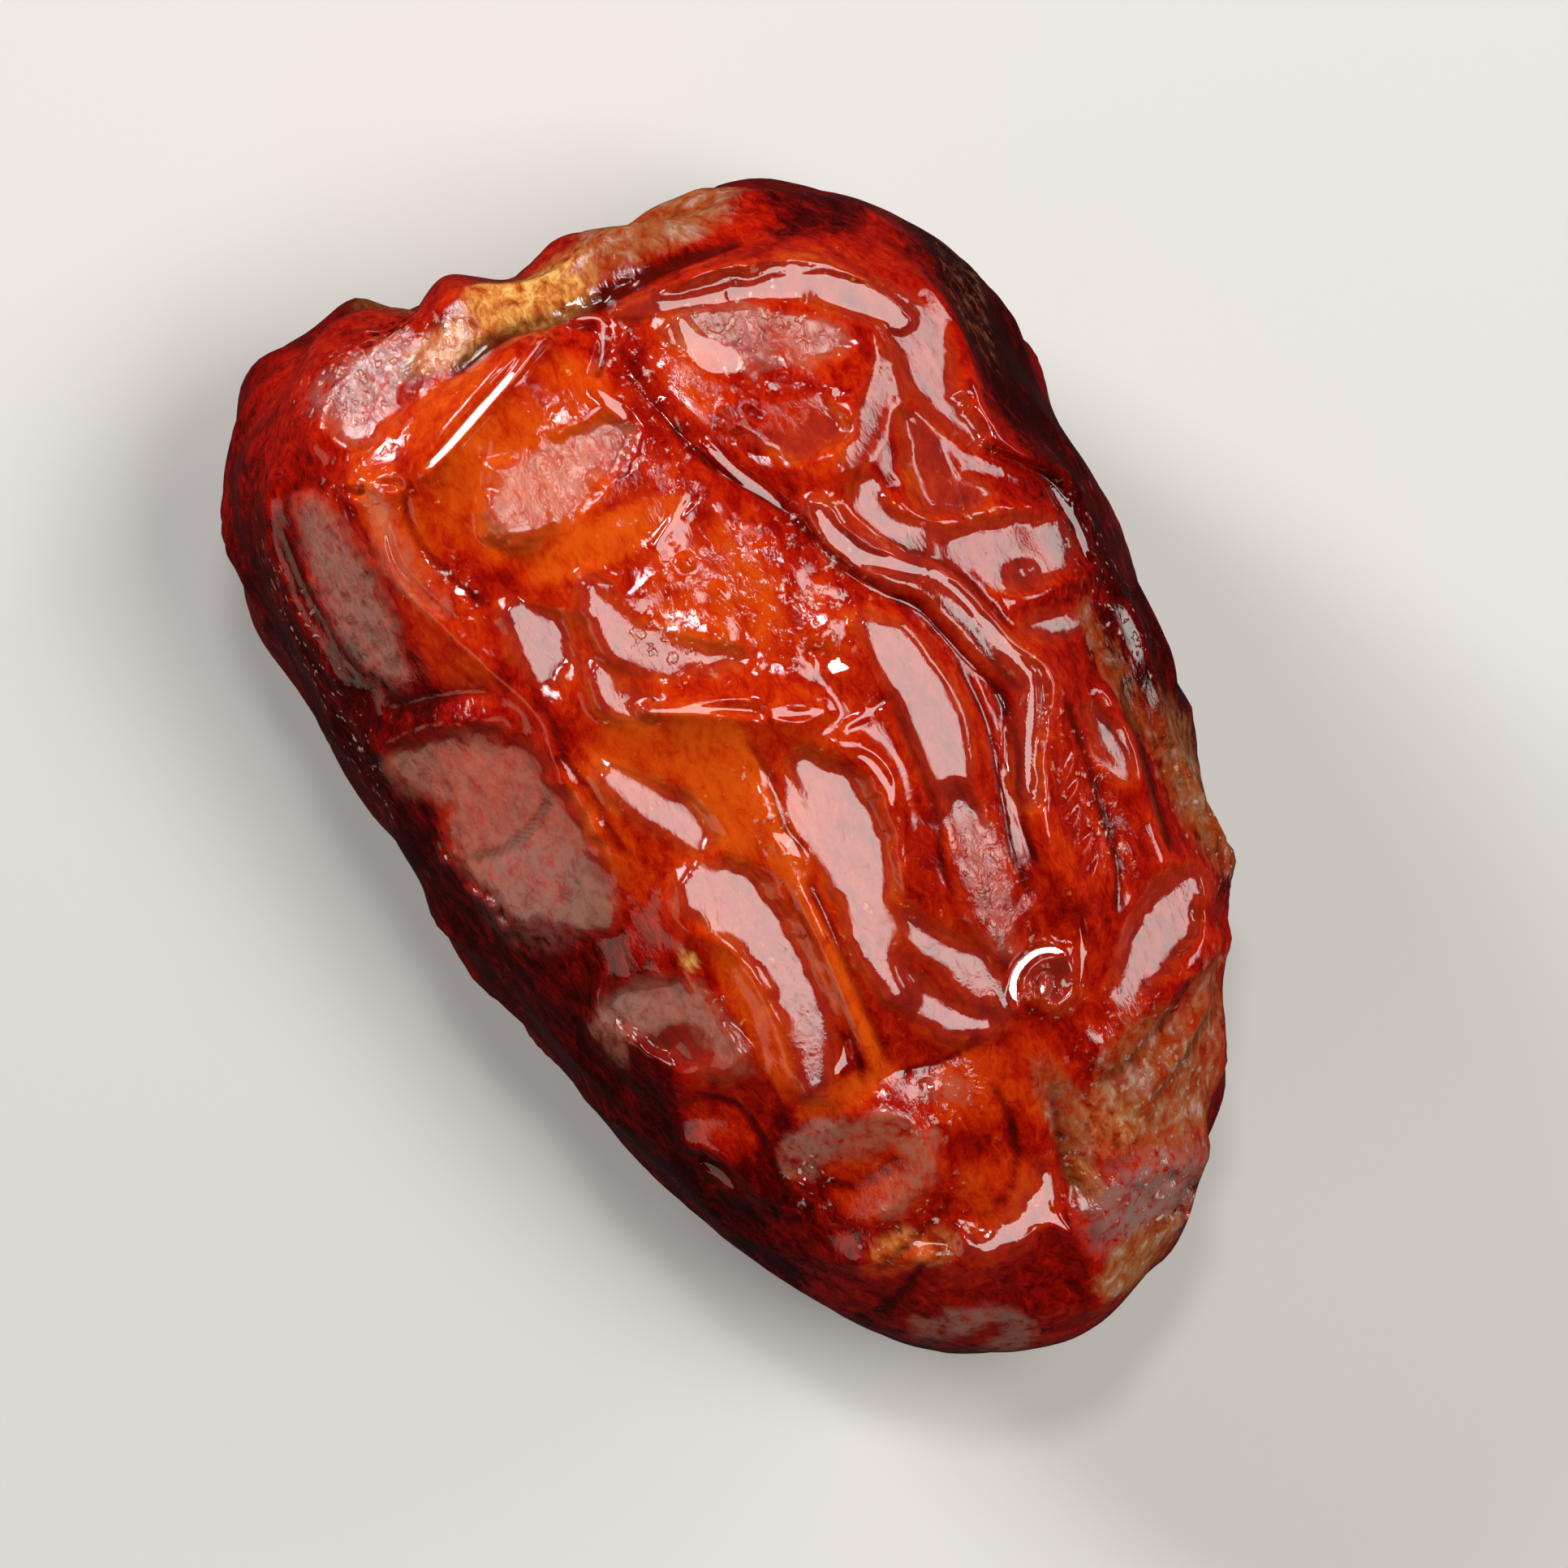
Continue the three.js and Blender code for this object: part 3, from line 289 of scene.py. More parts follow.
# Small flat flecks that catch the large soft light: middle and half-width.
FLECKS = [
    (-5.3, 3.3, 0.15), (-6.2, 2.95, 0.1), (-5.55, 2.3, 0.13), (-4.9, 3, 0.12), (-6.7, 1.7, 0.12), (-4.2, 1.3, 0.14),
    (-3.55, 1.6, 0.12), (-3.85, 0.85, 0.17), (-5.1, 0.1, 0.14), (-7.4, 0.2, 0.16), (-6.3, 0.7, 0.14), (-6.6, -1.5, 0.15),
    (-10.1, 6.1, 0.24), (-11, 6.7, 0.11), (-11.5, 5.1, 0.2), (-10.7, 5.4, 0.13), (-10.95, 4.55, 0.2), (-10.5, 3.7, 0.18),
    (-11, 1.9, 0.16), (-12, 1.5, 0.18), (-13.2, 1.3, 0.14), (14.6, 5.4, 0.14), (15, 4.6, 0.12), (14.4, 4.3, 0.1),
]
# Ground that is tilted out of every light, under the specks.
QUIET_PANELS = [
    ([0.08, 0.03], [[-7.4, 1, 0.9], [-6.2, 1.5, 1.2], [-5.1, 1.9, 1.2], [-4.2, 2.5, 0.8]]),
    ([0.06, 0], [[-13.7, -2.6, 0.4], [-13.2, -4.2, 0.5]]),
]
# Hair-fine creases.
FINE_CREASES = [
    [[2, -0.45], [5, -0.5], [8.2, -0.6]],
    [[1.8, -1.15], [4.5, -1.1], [7, -1.2], [8.4, -1.6]],
    [[-1.8, 3.9], [0.5, 3.8], [2, 3.7], [3.4, 3.2], [4.6, 3.1]],
    [[-2.2, -0.4], [-1, -0.2], [0.5, -0.4], [1.6, -0.2]],
    [[-12.9, -6.2], [-11.5, -6.5], [-10, -6.1], [-8.5, -5.4]],
    [[-6, -5.5], [-5, -5.2], [-3.6, -5.3], [-2.6, -5], [-1.2, -5], [-0.4, -4.7]],
    [[8.4, 2.2], [8.6, 0.8], [8.3, -0.6]],
    [[9.6, 1.8], [10.8, 1.9], [12, 1.6], [12.9, 0.9], [13.2, -0.3]],
    [[9.4, 8.5], [10.2, 7.3], [10.8, 5.9], [11.2, 4.4]],
    [[10.6, 8.7], [11.6, 7.2], [12.3, 5.6]],
    [[-3.1, -6], [-2.5, -6.9], [-2.2, -8], [-2.5, -9.2]],
    [[0.4, 8.4], [2, 8.3], [3.6, 8.1], [5.6, 7.8], [7.2, 7]],
    [[10.5, -1.3], [10.8, -2.2], [10.7, -3.2], [10.2, -3.8]],
    [[0.6, 10.2], [2.4, 9.9], [4.4, 9.6], [6.2, 9.4]],
    [[-2, 6], [0, 6.1], [2, 5.7], [4, 5.2], [5.6, 5.1]],
    [[-0.6, 6.9], [1.2, 6.6], [3, 5.9], [5, 5.6]],
    [[12.3, -0.5], [12.9, -2], [13.4, -3.6]],
    [[13.6, -2], [14.4, -3.4], [14.6, -5]],
    [[6.5, -6], [7.2, -5.1], [8.6, -4.8], [10.4, -4.9]],
    [[-3.6, 6.2], [-2.4, 6.75], [-1, 7.05], [-0.1, 7.3]],
    [[-13.5, -10], [-11, -10.1], [-8, -9.7]],
]
# Milky skin, partly skin lifted off the flesh and partly a painted reflection of a dim light, as strokes with how milky
# it is.
LIFTED_AND_SHEEN = [
    (0.6, [[-11.5, -0.2, 0.5], [-11.2, -1.7, 0.8], [-11, -3, 0.95], [-10.8, -3.7, 0.7]]),
    (0.52, [[-5.4, -9.4, 0.7], [-4.5, -7.9, 1.4], [-2.9, -7.6, 1.7], [-1.2, -7.2, 1.6], [0, -6.5, 0.9]]),
    (0.42, [[-13.4, -8.8, 0.5], [-11.6, -8.7, 0.8], [-9.8, -8.6, 0.7], [-8.3, -8.6, 0.4]]),
    (0.6, [[-12.8, -6.8, 0.3], [-11, -7, 0.45], [-9.4, -6.6, 0.45]]),
    (0.6, [[6.1, -4.4, 0.3], [4.9, -4.4, 0.45], [3.8, -5.1, 0.6], [3.3, -6.2, 0.65], [3.7, -7.2, 0.6], [4.5, -7.2, 0.3]]),
    (0.9, [[9.3, -4, 0.6], [9.3, -2.6, 0.65], [9.6, -1.4, 0.5], [10.3, -0.7, 0.4], [11.2, -1.1, 0.35],
        [11.7, -2.3, 0.3]]),
    (1.0, [[15.4, -3, 0.2], [15.7, -1.8, 0.28], [15.9, -0.9, 0.26], [16.4, -0.3, 0.26], [17, -0.5, 0.3], [17.3, -1.4, 0.3]]),
    (0.6, [[9.1, 0.4, 0.35], [9.4, 0.9, 0.3]]),
    (0.55, [[-13.4, 3.2, 0.6], [-12.5, 4.6, 0.9], [-11.6, 6.2, 0.7]]),
    (1.0, [[14.5, 3.7, 0.4], [14.6, 5, 0.6], [14.9, 6.2, 0.45]]),
    (0.3, [[2.6, 4.3, 0.4], [4.2, 4.2, 0.5], [6.2, 3.9, 0.4]]),
    (0.6, [[-16.6, -4.9, 0.5], [-15.9, -5.8, 0.7], [-15.1, -6.8, 0.5]]),
]
CELLS = dict(
    seed=20714, along=4.6, round=3.1, jitter=0.36, stretch=0.6, height=0.7, reach=0.8, sag=0.12, bend=0.9,
    top_share=0.12,
)


def seeded(seed):
    """Numbers from 0 to 1, the same each time."""
    state = seed
    while True:
        state = (state * 1664525 + 1013904223) % 4294967296
        yield state / 4294967296


def smooth(low, high, value):
    share = np.clip((value - low) / (high - low), 0, 1)
    return share * share * (3 - 2 * share)


def station(x):
    """How far along its half of the body each station lies, with which roundness, and its share of the width."""
    stemward = x < WIDEST_X
    along = (x - WIDEST_X) / np.where(stemward, STEM_LENGTH, TIP_LENGTH)
    power = np.where(stemward, STEM_ROUND, TIP_ROUND)
    return along, power, np.maximum(0, 1 - np.abs(along) ** power) ** (1 / power)


def sway(x):
    return SWAY["middle"] + SWAY["each_way"] * np.tanh((x - SWAY["at"]) / SWAY["over"])


def slant(x, y):
    along = np.minimum(0, station(x)[0])
    return STEM_SLANT * y * along * along


def straighten(x, y):
    across = y - sway(x)
    return x - slant(x, across), across


def body_points(box):
    """The straight body's surface in the direction of each point of the box, whose sides are at -1 and 1."""
    along, across, up = np.tan(box * math.pi / 4).T
    power = np.where(along < 0, STEM_ROUND, TIP_ROUND)
    ring = (np.abs(across) ** SECTION_ROUND + np.abs(up) ** SECTION_ROUND) ** (1 / SECTION_ROUND)
    radial = (np.abs(along) ** power + ring**power) ** (-1 / power)
    return np.stack([
        WIDEST_X + np.where(along < 0, STEM_LENGTH, TIP_LENGTH) * radial * along,
        HALF_WIDTH * radial * across,
        np.where(up < 0, UNDER, TOP) * radial * up,
    ], axis=1)


def upper_height(x, across):
    half = HALF_WIDTH * np.maximum(station(x)[2], 1e-3)
    left = np.maximum(0, 1 - np.minimum(1, np.abs(across) / half) ** SECTION_ROUND)
    return TOP * half * left ** (1 / SECTION_ROUND) / HALF_WIDTH


def round_point(x, angle):
    n = SECTION_ROUND
    sine, cosine = math.sin(angle), math.cos(angle)
    ring = float(station(np.float64(x))[2]) * (abs(sine) ** n + abs(cosine) ** n) ** (-1 / n)
    return x, HALF_WIDTH * ring * sine, (UNDER if cosine < 0 else TOP) * ring * cosine


def outward(points):
    """The way out of the straight body at each of its points."""
    x, y, z = points.T
    along, power, _ = station(x)
    tall = np.where(z < 0, UNDER, TOP)
    across = np.abs(y) / HALF_WIDTH
    up = np.abs(z) / tall
    n = SECTION_ROUND
    ring = np.maximum(1e-6, (across**n + up**n) ** (1 / n))
    pull = ring ** (power - n)
    length = np.where(x < WIDEST_X, STEM_LENGTH, TIP_LENGTH)
    slope = np.stack([
        np.sign(along) * np.abs(along) ** (power - 1) / length,
        np.sign(y) * pull * across ** (n - 1) / HALF_WIDTH,
        np.sign(z) * pull * up ** (n - 1) / tall,
    ], axis=1)
    return slope / np.linalg.norm(slope, axis=1, keepdims=True)


def curve_through(points):
    """A smooth curve through points of any number of values, as short straight steps."""
    points = np.array(points, float)
    last = len(points) - 1
    steps = []
    for i in range(last):
        a, b, c, d = (points[min(last, max(0, k))] for k in (i - 1, i, i + 1, i + 2))
        rise, fall, gap = (c - a) / 2, (d - b) / 2, c - b
        for k in range(STEPS_PER_SPAN):
            t = k / STEPS_PER_SPAN
            steps.append(b + t * (rise + t * (3 * gap - 2 * rise - fall + t * (rise + fall - 2 * gap))))
    return np.array(steps + [points[last]])


def nearest_on(line, points):
    """How far off the nearest place on a line is, how far along the line, and the line's values there."""
    axes = points.shape[1]
    away = np.full(len(points), np.inf)
    share = np.zeros(len(points))
    for i in range(len(line) - 1):
        start, step = line[i, :axes], line[i + 1, :axes] - line[i, :axes]
        t = np.clip((points - start) @ step / (step @ step + 1e-12), 0, 1)
        gap = np.sum((points - start - t[:, None] * step) ** 2, axis=1)
        nearer = gap < away
        away[nearer] = gap[nearer]
        share[nearer] = i + t[nearer]
    low = np.minimum(share.astype(int), len(line) - 2)
    at = line[low] + (share - low)[:, None] * (line[low + 1] - line[low])
    return np.sqrt(away), share / (len(line) - 1), at


def close_to(points, line, reach):
    """The points that a line may touch: those in its box, grown by reach."""
    axes = points.shape[1]
    low, high = line[:, :axes].min(0) - reach, line[:, :axes].max(0) + reach
    return np.flatnonzero(np.all((points > low) & (points < high), axis=1))


def standing(points, line, size, reach):
    """How high a fold stands: a rounded crest with hollow flanks, lower towards its two ends."""
    found = np.zeros(len(points))
    near = close_to(points, line, 6 * reach)
    away, share, _ = nearest_on(line, points[near])
    off = np.hypot(away, CREST_RADIUS) - CREST_RADIUS
    found[near] = size * (0.25 + 0.75 * smooth(0, 0.18, np.minimum(share, 1 - share))) * np.exp(-off / reach)
    return found


def cell_middles():
    """The middles of the flanks' cells, set out in rings from end to end."""
    random = seeded(CELLS["seed"])
    cells = []
    rings = round((STEM_LENGTH + TIP_LENGTH) / CELLS["along"])
    for ring in range(rings + 1):
        x = WIDEST_X - STEM_LENGTH + (STEM_LENGTH + TIP_LENGTH) * ring / rings
        girth = 2 * math.pi * HALF_WIDTH * float(station(np.float64(x))[2])
        count = max(1, math.floor(girth / CELLS["round"] + 0.5))
        for i in range(count):
            turn = i + 0.5 * (ring % 2) + CELLS["jitter"] * (2 * next(random) - 1)
            shift = CELLS["jitter"] * CELLS["along"] * (2 * next(random) - 1)
            _, y, z = round_point(x, turn * 2 * math.pi / count)
            cells.append((CELLS["stretch"] * (x + shift), y, z))
    return cells


def crumple(points):
    """The crumpled skin of the flanks and the underside."""
    x, y, z = points.T
    bend = CELLS["bend"]
    bent = np.stack([
        CELLS["stretch"] * (x + bend * np.sin(0.55 * y + 0.4 * z)),
        y + bend * np.sin(0.5 * x + 0.9) * np.cos(0.35 * z),
        z + bend * np.sin(0.45 * x - 0.6 * y + 2.1),
    ], axis=1)
    first = np.full(len(points), np.inf)
    second = first.copy()
    for cell in cell_middles():
        away = np.linalg.norm(bent - cell, axis=1)
        second = np.minimum(second, np.maximum(first, away))
        first = np.minimum(first, away)
    off = np.hypot((second - first) / 2, CREST_RADIUS) - CREST_RADIUS
    swing = np.sin(0.7 * x + 1.3 * np.sin(0.5 * y) + 0.8 * z) * np.cos(0.6 * y - 0.3 * x)
    strength = 0.55 + 0.45 * swing
    return CELLS["height"] * strength * np.exp(-off / CELLS["reach"]) - CELLS["sag"]


def stem_end(points):
    """The stem end's cup, scar and puckers, by distance from the middle of the blunt end."""
    x, y, z = points.T
    away = np.hypot(y, z)
    cup = np.maximum(0, 1 - (away / SCAR["cup"]) ** 2) ** 2
    disc = 1 / (1 + np.exp(np.minimum(50, (away - SCAR["disc"]) / SCAR["edge"])))
    ring = smooth(SCAR["disc"], SCAR["cup"], away) * (1 - smooth(SCAR["cup"], HALF_WIDTH, away))
    pucker = np.sin(SCAR["puckers"] * np.arctan2(z, y) + 0.5 * away)
    found = SCAR["disc_height"] * disc - SCAR["depth"] * cup + SCAR["pucker_height"] * ring * pucker
    return np.where(x > WIDEST_X, 0, found)


def laid(route):
    """A route seen from above, laid on the straight body."""
    x, y = np.array(route, float)[:, :2].T
    x, y = straighten(x, y)
    return np.stack([x, y, upper_height(x, y)], axis=1)


def joined(values):
    return np.sum(np.array(values) ** 4, axis=0) ** 0.25


def loose_skin(body):
    """Where points of the straight body go with their folds, creases, blisters and crumples."""
    raised = joined([standing(body, curve_through(laid(f["route"])), f["height"], f["reach"]) for f in UPPER_FOLDS])
    cut = joined([standing(body, curve_through(laid(c["route"])), c["depth"], c["reach"]) for c in UPPER_CREASES])
    swelled = np.zeros(len(body))
    for dome in UPPER_DOMES:
        away = np.linalg.norm(body - laid([dome["at"]])[0], axis=1) / dome["radius"]
        swelled += dome["height"] * np.maximum(0, 1 - away * away) ** 2
    topside = smooth(1, 5, body[:, 2])
    resting = smooth(0.75, 0.95, -body[:, 2] / REST)
    loose = (1 - (1 - CELLS["top_share"]) * topside) * (1 - 0.85 * resting)
    ridges = loose * crumple(body)
    moved = raised - cut + swelled + stem_end(body) + ridges
    return body + moved[:, None] * outward(body), dict(raised=raised, cut=cut, ridges=ridges)


def panel_line(stroke, lean, follows):
    """A panel's line: its half-width, and the height of its plane less the lean from its middle."""
    flat = np.array(stroke, float)
    flat[:, 0], flat[:, 1] = straighten(flat[:, 0], flat[:, 1])
    middle = flat[len(flat) // 2, :2]
    off = PANEL_SAMPLE * flat[:, 2:]
    spots = np.concatenate([flat[:, :2] + off * way for way in ((0, 0), (-1, 0), (1, 0), (0, -1), (0, 1))])
    skin, _ = loose_skin(np.column_stack([spots, upper_height(spots[:, 0], spots[:, 1])]))
    level = np.mean(skin[:, 2] - (spots - middle) @ np.array(lean, float))
    rises = upper_height(flat[:, 0], flat[:, 1]) - (flat[:, :2] - middle) @ np.array(lean, float)
    return curve_through(np.column_stack([flat, level + follows * (rises - rises.mean())])), middle


def press_panel(place, upper, stroke, lean, follows, edge, ragged, above=0):
    """Draws one panel flat, above its skin or level with it, and gives how far each point is inside it."""
    line, middle = panel_line(stroke, lean, follows)
    near = close_to(place[:, :2], line, line[:, 2].max() + edge + 0.3)
    near = near[upper[near]]
    away, _, at = nearest_on(line, place[near, :2])
    inside = smooth(-edge, edge, at[:, 2] - away + ragged[near] * (0.4 + at[:, 2]))
    level = above + at[:, 3] + (place[near, :2] - middle) @ np.array(lean, float)
    place[near, 2] += inside * (level - place[near, 2])
    found = np.zeros(len(place))
    found[near] = inside
    return found


def rippled(points, size, octaves=2):
    """Soft seedless noise between about -1 and 1, whose bumps are size mm across."""
    return np.array([fractal(Vector(point) / size, 0.8, 2.1, octaves) for point in points.tolist()])


def place_spots(places, x, y, upper):
    """How strongly a list of soft oval places covers each point of the upper side."""
    found = np.zeros(len(x))
    for at_x, at_y, half_x, half_y, strength in places:
        oval = ((x - at_x) / half_x) ** 2 + ((y - at_y) / half_y) ** 2
        found = np.maximum(found, strength * (1 - smooth(0.3, 1.9, oval)))
    return found * upper


# Where the skin is finely wrinkled, and where it is dry and rough: middle, half-sizes and strength.
WRINKLED = [
    (-11.2, -2, 1.2, 2.1, 0.8), (4.6, 4.2, 2.2, 0.9, 0.8), (3.6, 7.4, 2.0, 0.8, 1.0), (-11.5, 4.3, 1.7, 2.0, 1.0),
    (-16, -5, 1.6, 2.2, 1.0), (-10, -8.6, 3.4, 1.2, 0.6), (-6.9, 1.4, 1.4, 1, 0.3), (10.4, -2.2, 2, 1.8, 0.6),
    (11, 2, 2, 1.2, 0.4), (-3, -7.6, 3, 1.8, 0.35),
]
ROUGH = [(15.6, 4.4, 2.2, 2.2, 1.0), (12, 6.2, 2.2, 2.2, 0.8), (-16.4, 0.5, 1, 4.6, 0.7), (4, 10.6, 4, 0.8, 0.8)]


def relief_masks(body):
    """How finely wrinkled, and how dry and rough, the upper side is."""
    x = body[:, 0] + slant(body[:, 0], body[:, 1])
    y = body[:, 1] + sway(body[:, 0])
    upper = smooth(-0.5, 2, body[:, 2])
    return place_spots(WRINKLED, x, y, upper), place_spots(ROUGH, x, y, upper)


def along_lines(place, upper, routes, half, reach):
    """How close each point is to the nearest of some thin lines: 1 on it, and less to the sides."""
    found = np.zeros(len(place))
    for route in routes:
        flat = np.array(route, float)
        line = curve_through(np.stack(straighten(flat[:, 0], flat[:, 1]), axis=1))
        near = close_to(place[:, :2], line, half + 4 * reach)
        near = near[upper[near]]
        away, share, _ = nearest_on(line, place[near, :2])
        ends = smooth(0, 0.15, np.minimum(share, 1 - share))
        found[near] = np.maximum(found[near], ends * np.exp(-((np.maximum(0, away - half) / reach) ** 2)))
    return found


def corners(mesh_or_verts):
    return body_points(np.array([vert.co[:] for vert in mesh_or_verts]))


def refine(bm, strokes):
    """Cuts the box more finely under some strokes."""
    bm.verts.index_update()
    body = corners(bm.verts)
    near = along_lines(body, body[:, 2] > 0, strokes, 0.5, 0.02) > 0.5
    edges = [edge for edge in bm.edges if near[edge.verts[0].index] and near[edge.verts[1].index]]
    bmesh.ops.subdivide_edges(bm, edges=edges, cuts=1, use_grid_fill=True)


def date_skin():
    """The skin as a fine mesh: a box, cut up and swelled into the body, with every corner moved."""
    bm = bmesh.new()
    bmesh.ops.create_cube(bm, size=2)
    for axis, cuts in enumerate(QUADS):
        edges = [e for e in bm.edges if abs((e.verts[0].co - e.verts[1].co)[axis]) > 1e-4]
        bmesh.ops.subdivide_edges(bm, edges=edges, cuts=cuts - 1, use_grid_fill=True)
    edges = {edge for face in bm.faces if face.calc_center_median().z > FINER_ABOVE for edge in face.edges}
    bmesh.ops.subdivide_edges(bm, edges=list(edges), cuts=1, use_grid_fill=True)
    flecks = [[[x - 0.5 * half, y, half], [x + 0.5 * half, y + 0.3 * half, half]] for x, y, half in FLECKS]
    refine(bm, [stroke for _, stroke in CREST_LINES] + SPINES + GLINTS + [TIP_CREST, FRONT_LINE] + flecks)
    refine(bm, [FRONT_LINE] + GLINTS)
    mesh = bpy.data.meshes.new("date_skin")
    bm.to_mesh(mesh)
    bm.free()
    count = len(mesh.vertices)
    box = np.empty(count * 3)
    mesh.vertices.foreach_get("co", box)
    body = body_points(box.reshape(-1, 3))
    place, relief = loose_skin(body)

    upper = place[:, 2] > 0
    swell = rippled(body, 1.6)
    wrinkle = rippled(body * (0.6, 1, 1), 0.7)
    crinkle = rippled(body, 0.45)
    fine, dry = relief_masks(body)
    ragged = 0.15 * rippled(body, 0.9) + (0.09 + 0.2 * fine) * crinkle
    for lean, stroke in QUIET_PANELS:
        press_panel(place, upper, stroke, lean, 0.3, 2 * PANEL_EDGE, ragged)
    panels = np.zeros(count)
    for panel in UPPER_PANELS:
        inside = press_panel(place, upper, panel["stroke"], panel["lean"], panel["follows"], PANEL_EDGE, ragged)
        panels = np.maximum(panels, inside)
    rims = 4 * panels * (1 - panels)
    press_panel(place, upper, DIP, DIP_LEAN, 0.3, 2 * PANEL_EDGE, ragged)
    calm = np.zeros(count)
    for lean, stroke in CREST_LINES:
        inside = press_panel(place, upper, stroke, lean, 0, CREST_EDGE, 0.2 * ragged)
        calm = np.maximum(calm, inside)
    inside = press_panel(place, upper, TIP_CREST, TIP_LEAN, 0, CREST_EDGE, 0.2 * ragged, 0.1)
    calm = np.maximum(calm, inside)
    for stroke in flecks:
        inside = press_panel(place, upper, stroke, TOP_LEAN, 0, CREST_EDGE, 0.6 * ragged, 0.04)
        calm = np.maximum(calm, inside)
    inside = press_panel(place, upper, FRONT_LINE, STEMWARD, 0.2, CREST_EDGE, 0.1 * ragged, 0.27)
    calm = np.maximum(calm, inside)
    for stroke in SPINES:
        inside = press_panel(place, upper, stroke, TOP_LEAN, 0.45, CREST_EDGE, 0.5 * ragged)
        calm = np.maximum(calm, inside)
    for dimple in UPPER_DIMPLES:
        middle = np.array(straighten(*dimple["at"]))
        away = np.linalg.norm(place[:, :2] - middle, axis=1) / dimple["radius"]
        place[:, 2] -= upper * dimple["depth"] * np.maximum(0, 1 - away * away) ** 2
    for stroke in GLINTS:
        inside = press_panel(place, upper, stroke, GLINT_LEAN, 0, CREST_EDGE, 0.2 * ragged)
        calm = np.maximum(calm, inside)
    thin = along_lines(place, upper, FINE_CREASES, 0.01, 0.11)
    lift = swell * (0.04 - 0.03 * panels) + wrinkle * (0.006 * (1 - panels) + 0.02 * fine + 0.02 * dry)
    lift += crinkle * (0.004 * (1 - panels) + 0.02 * fine + 0.012 * dry) - 0.07 * thin
    resting = smooth(0.9, 0.97, -body[:, 2] / REST)
    place += ((1 - resting) * (1 - calm) * lift)[:, None] * outward(body)

    x, y, z = place.T
    place = np.stack([x + slant(x, y), y + sway(x), np.maximum(0, z + REST)], axis=1)
    low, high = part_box("date_fruit")
    middle = (np.array(low) + np.array(high)) / 2
    shift = middle[:2] * 1000 - (place.min(0) + place.max(0))[:2] / 2
    place[:, :2] += shift
    mesh.vertices.foreach_set("co", (place / 1000).ravel())
    mesh.update()
    for polygon in mesh.polygons:
        polygon.use_smooth = True
    return mesh, body, dict(relief, thin=thin, panels=panels, rims=rims, calm=calm)
# Where the flesh shows through the skin, seen from above: middle, half-sizes, and how brightly it glows.
GLOW = [
    (-11.5, -3, 2.6, 3, 0.92), (-14.2, -4, 1, 3.0, 0.78), (-14.7, -3.6, 0.7, 1.6, 0.88), (-9, -1.6, 0.8, 2.8, 1.0),
    (-6.3, 0.6, 2.4, 2.4, 0.85), (-1.4, -1.4, 3.0, 1.4, 1.0), (-3.2, -3.4, 1.6, 1.4, 0.9), (0, -0.8, 3.4, 0.7, 0.98),
    (5, -0.85, 3.8, 0.5, 1.0), (4.6, -3.4, 3.6, 0.6, 0.82), (-1.6, -4.9, 2.6, 0.6, 0.8), (-3, -7.4, 3, 2, 0.52), (-8.3, -6.6, 2.4, 1.2, 0.72),
    (-12, -6.6, 2.6, 0.9, 0.85), (-9.2, 4.8, 1.5, 1.6, 0.66), (-12.4, 2.6, 1.8, 1.2, 0.78), (-12.2, 6.2, 2.2, 1.4, 0.6),
    (-7.4, 7.7, 1.9, 1.4, 0.5), (-6.6, 7, 0.8, 0.8, 0.65), (2, 6, 4.6, 0.7, 0.62), (1, 0.9, 3.4, 1.2, 0.7),
    (-0.6, 3.4, 3, 0.5, 0.5), (9.6, 1.4, 1.4, 1.6, 0.78), (10.6, -1.8, 1.8, 2, 0.66), (12.6, 0.6, 1.2, 1.6, 0.72),
    (4, 8, 3.6, 1.0, 0.52), (5.6, 2.9, 2.6, 0.9, 0.6), (-4, 3, 2, 1, 0.72), (13, -2.6, 0.6, 1.2, 0.8),
    (-2.5, -0.6, 10, 5, 0.64), (7, -5, 1.8, 1.4, 0.54), (14, -4.3, 1.8, 1.6, 0.34), (-13, -0.6, 1.6, 1.2, 0.8), (15.4, -1.6, 2.2, 2.4, 0.38), (10.4, 3.2, 2, 1, 0.7), (8.2, -2, 0.5, 1.8, 0.86),
    (-14, 7, 0.7, 1.5, 0.6),
]
# Painted shade: where the flesh is darkened as if in shade, at the stem corner, along the far border and by the tip.
PAINTED_SHADE = [
    (-15.8, 8.3, 1.5, 1.7, 0.35), (0, 9.2, 2.2, 0.8, 0.12), (15.6, 0.6, 1.6, 1.6, 0.12), (-10, 10.6, 4, 0.8, 0.15),
]
# Where the skin has dried papery and pale.
DRY = [
    (16.4, 3.7, 0.8, 1.5, 1.0), (16, 4.6, 0.6, 1.4, 0.7), (11.8, 6.3, 2.1, 1.8, 0.56), (10.6, 8.5, 1.8, 1, 0.48),
    (-16.4, 3.4, 0.7, 2.6, 0.62), (5.2, 10.6, 3.4, 0.8, 0.55), (0.6, 9.9, 2.6, 0.4, 0.35),
    (-11, 10.6, 2.2, 0.5, 0.2), (11.4, 3.4, 1.8, 0.6, 0.45), (10, 8.9, 1.2, 0.7, 0.45),
]
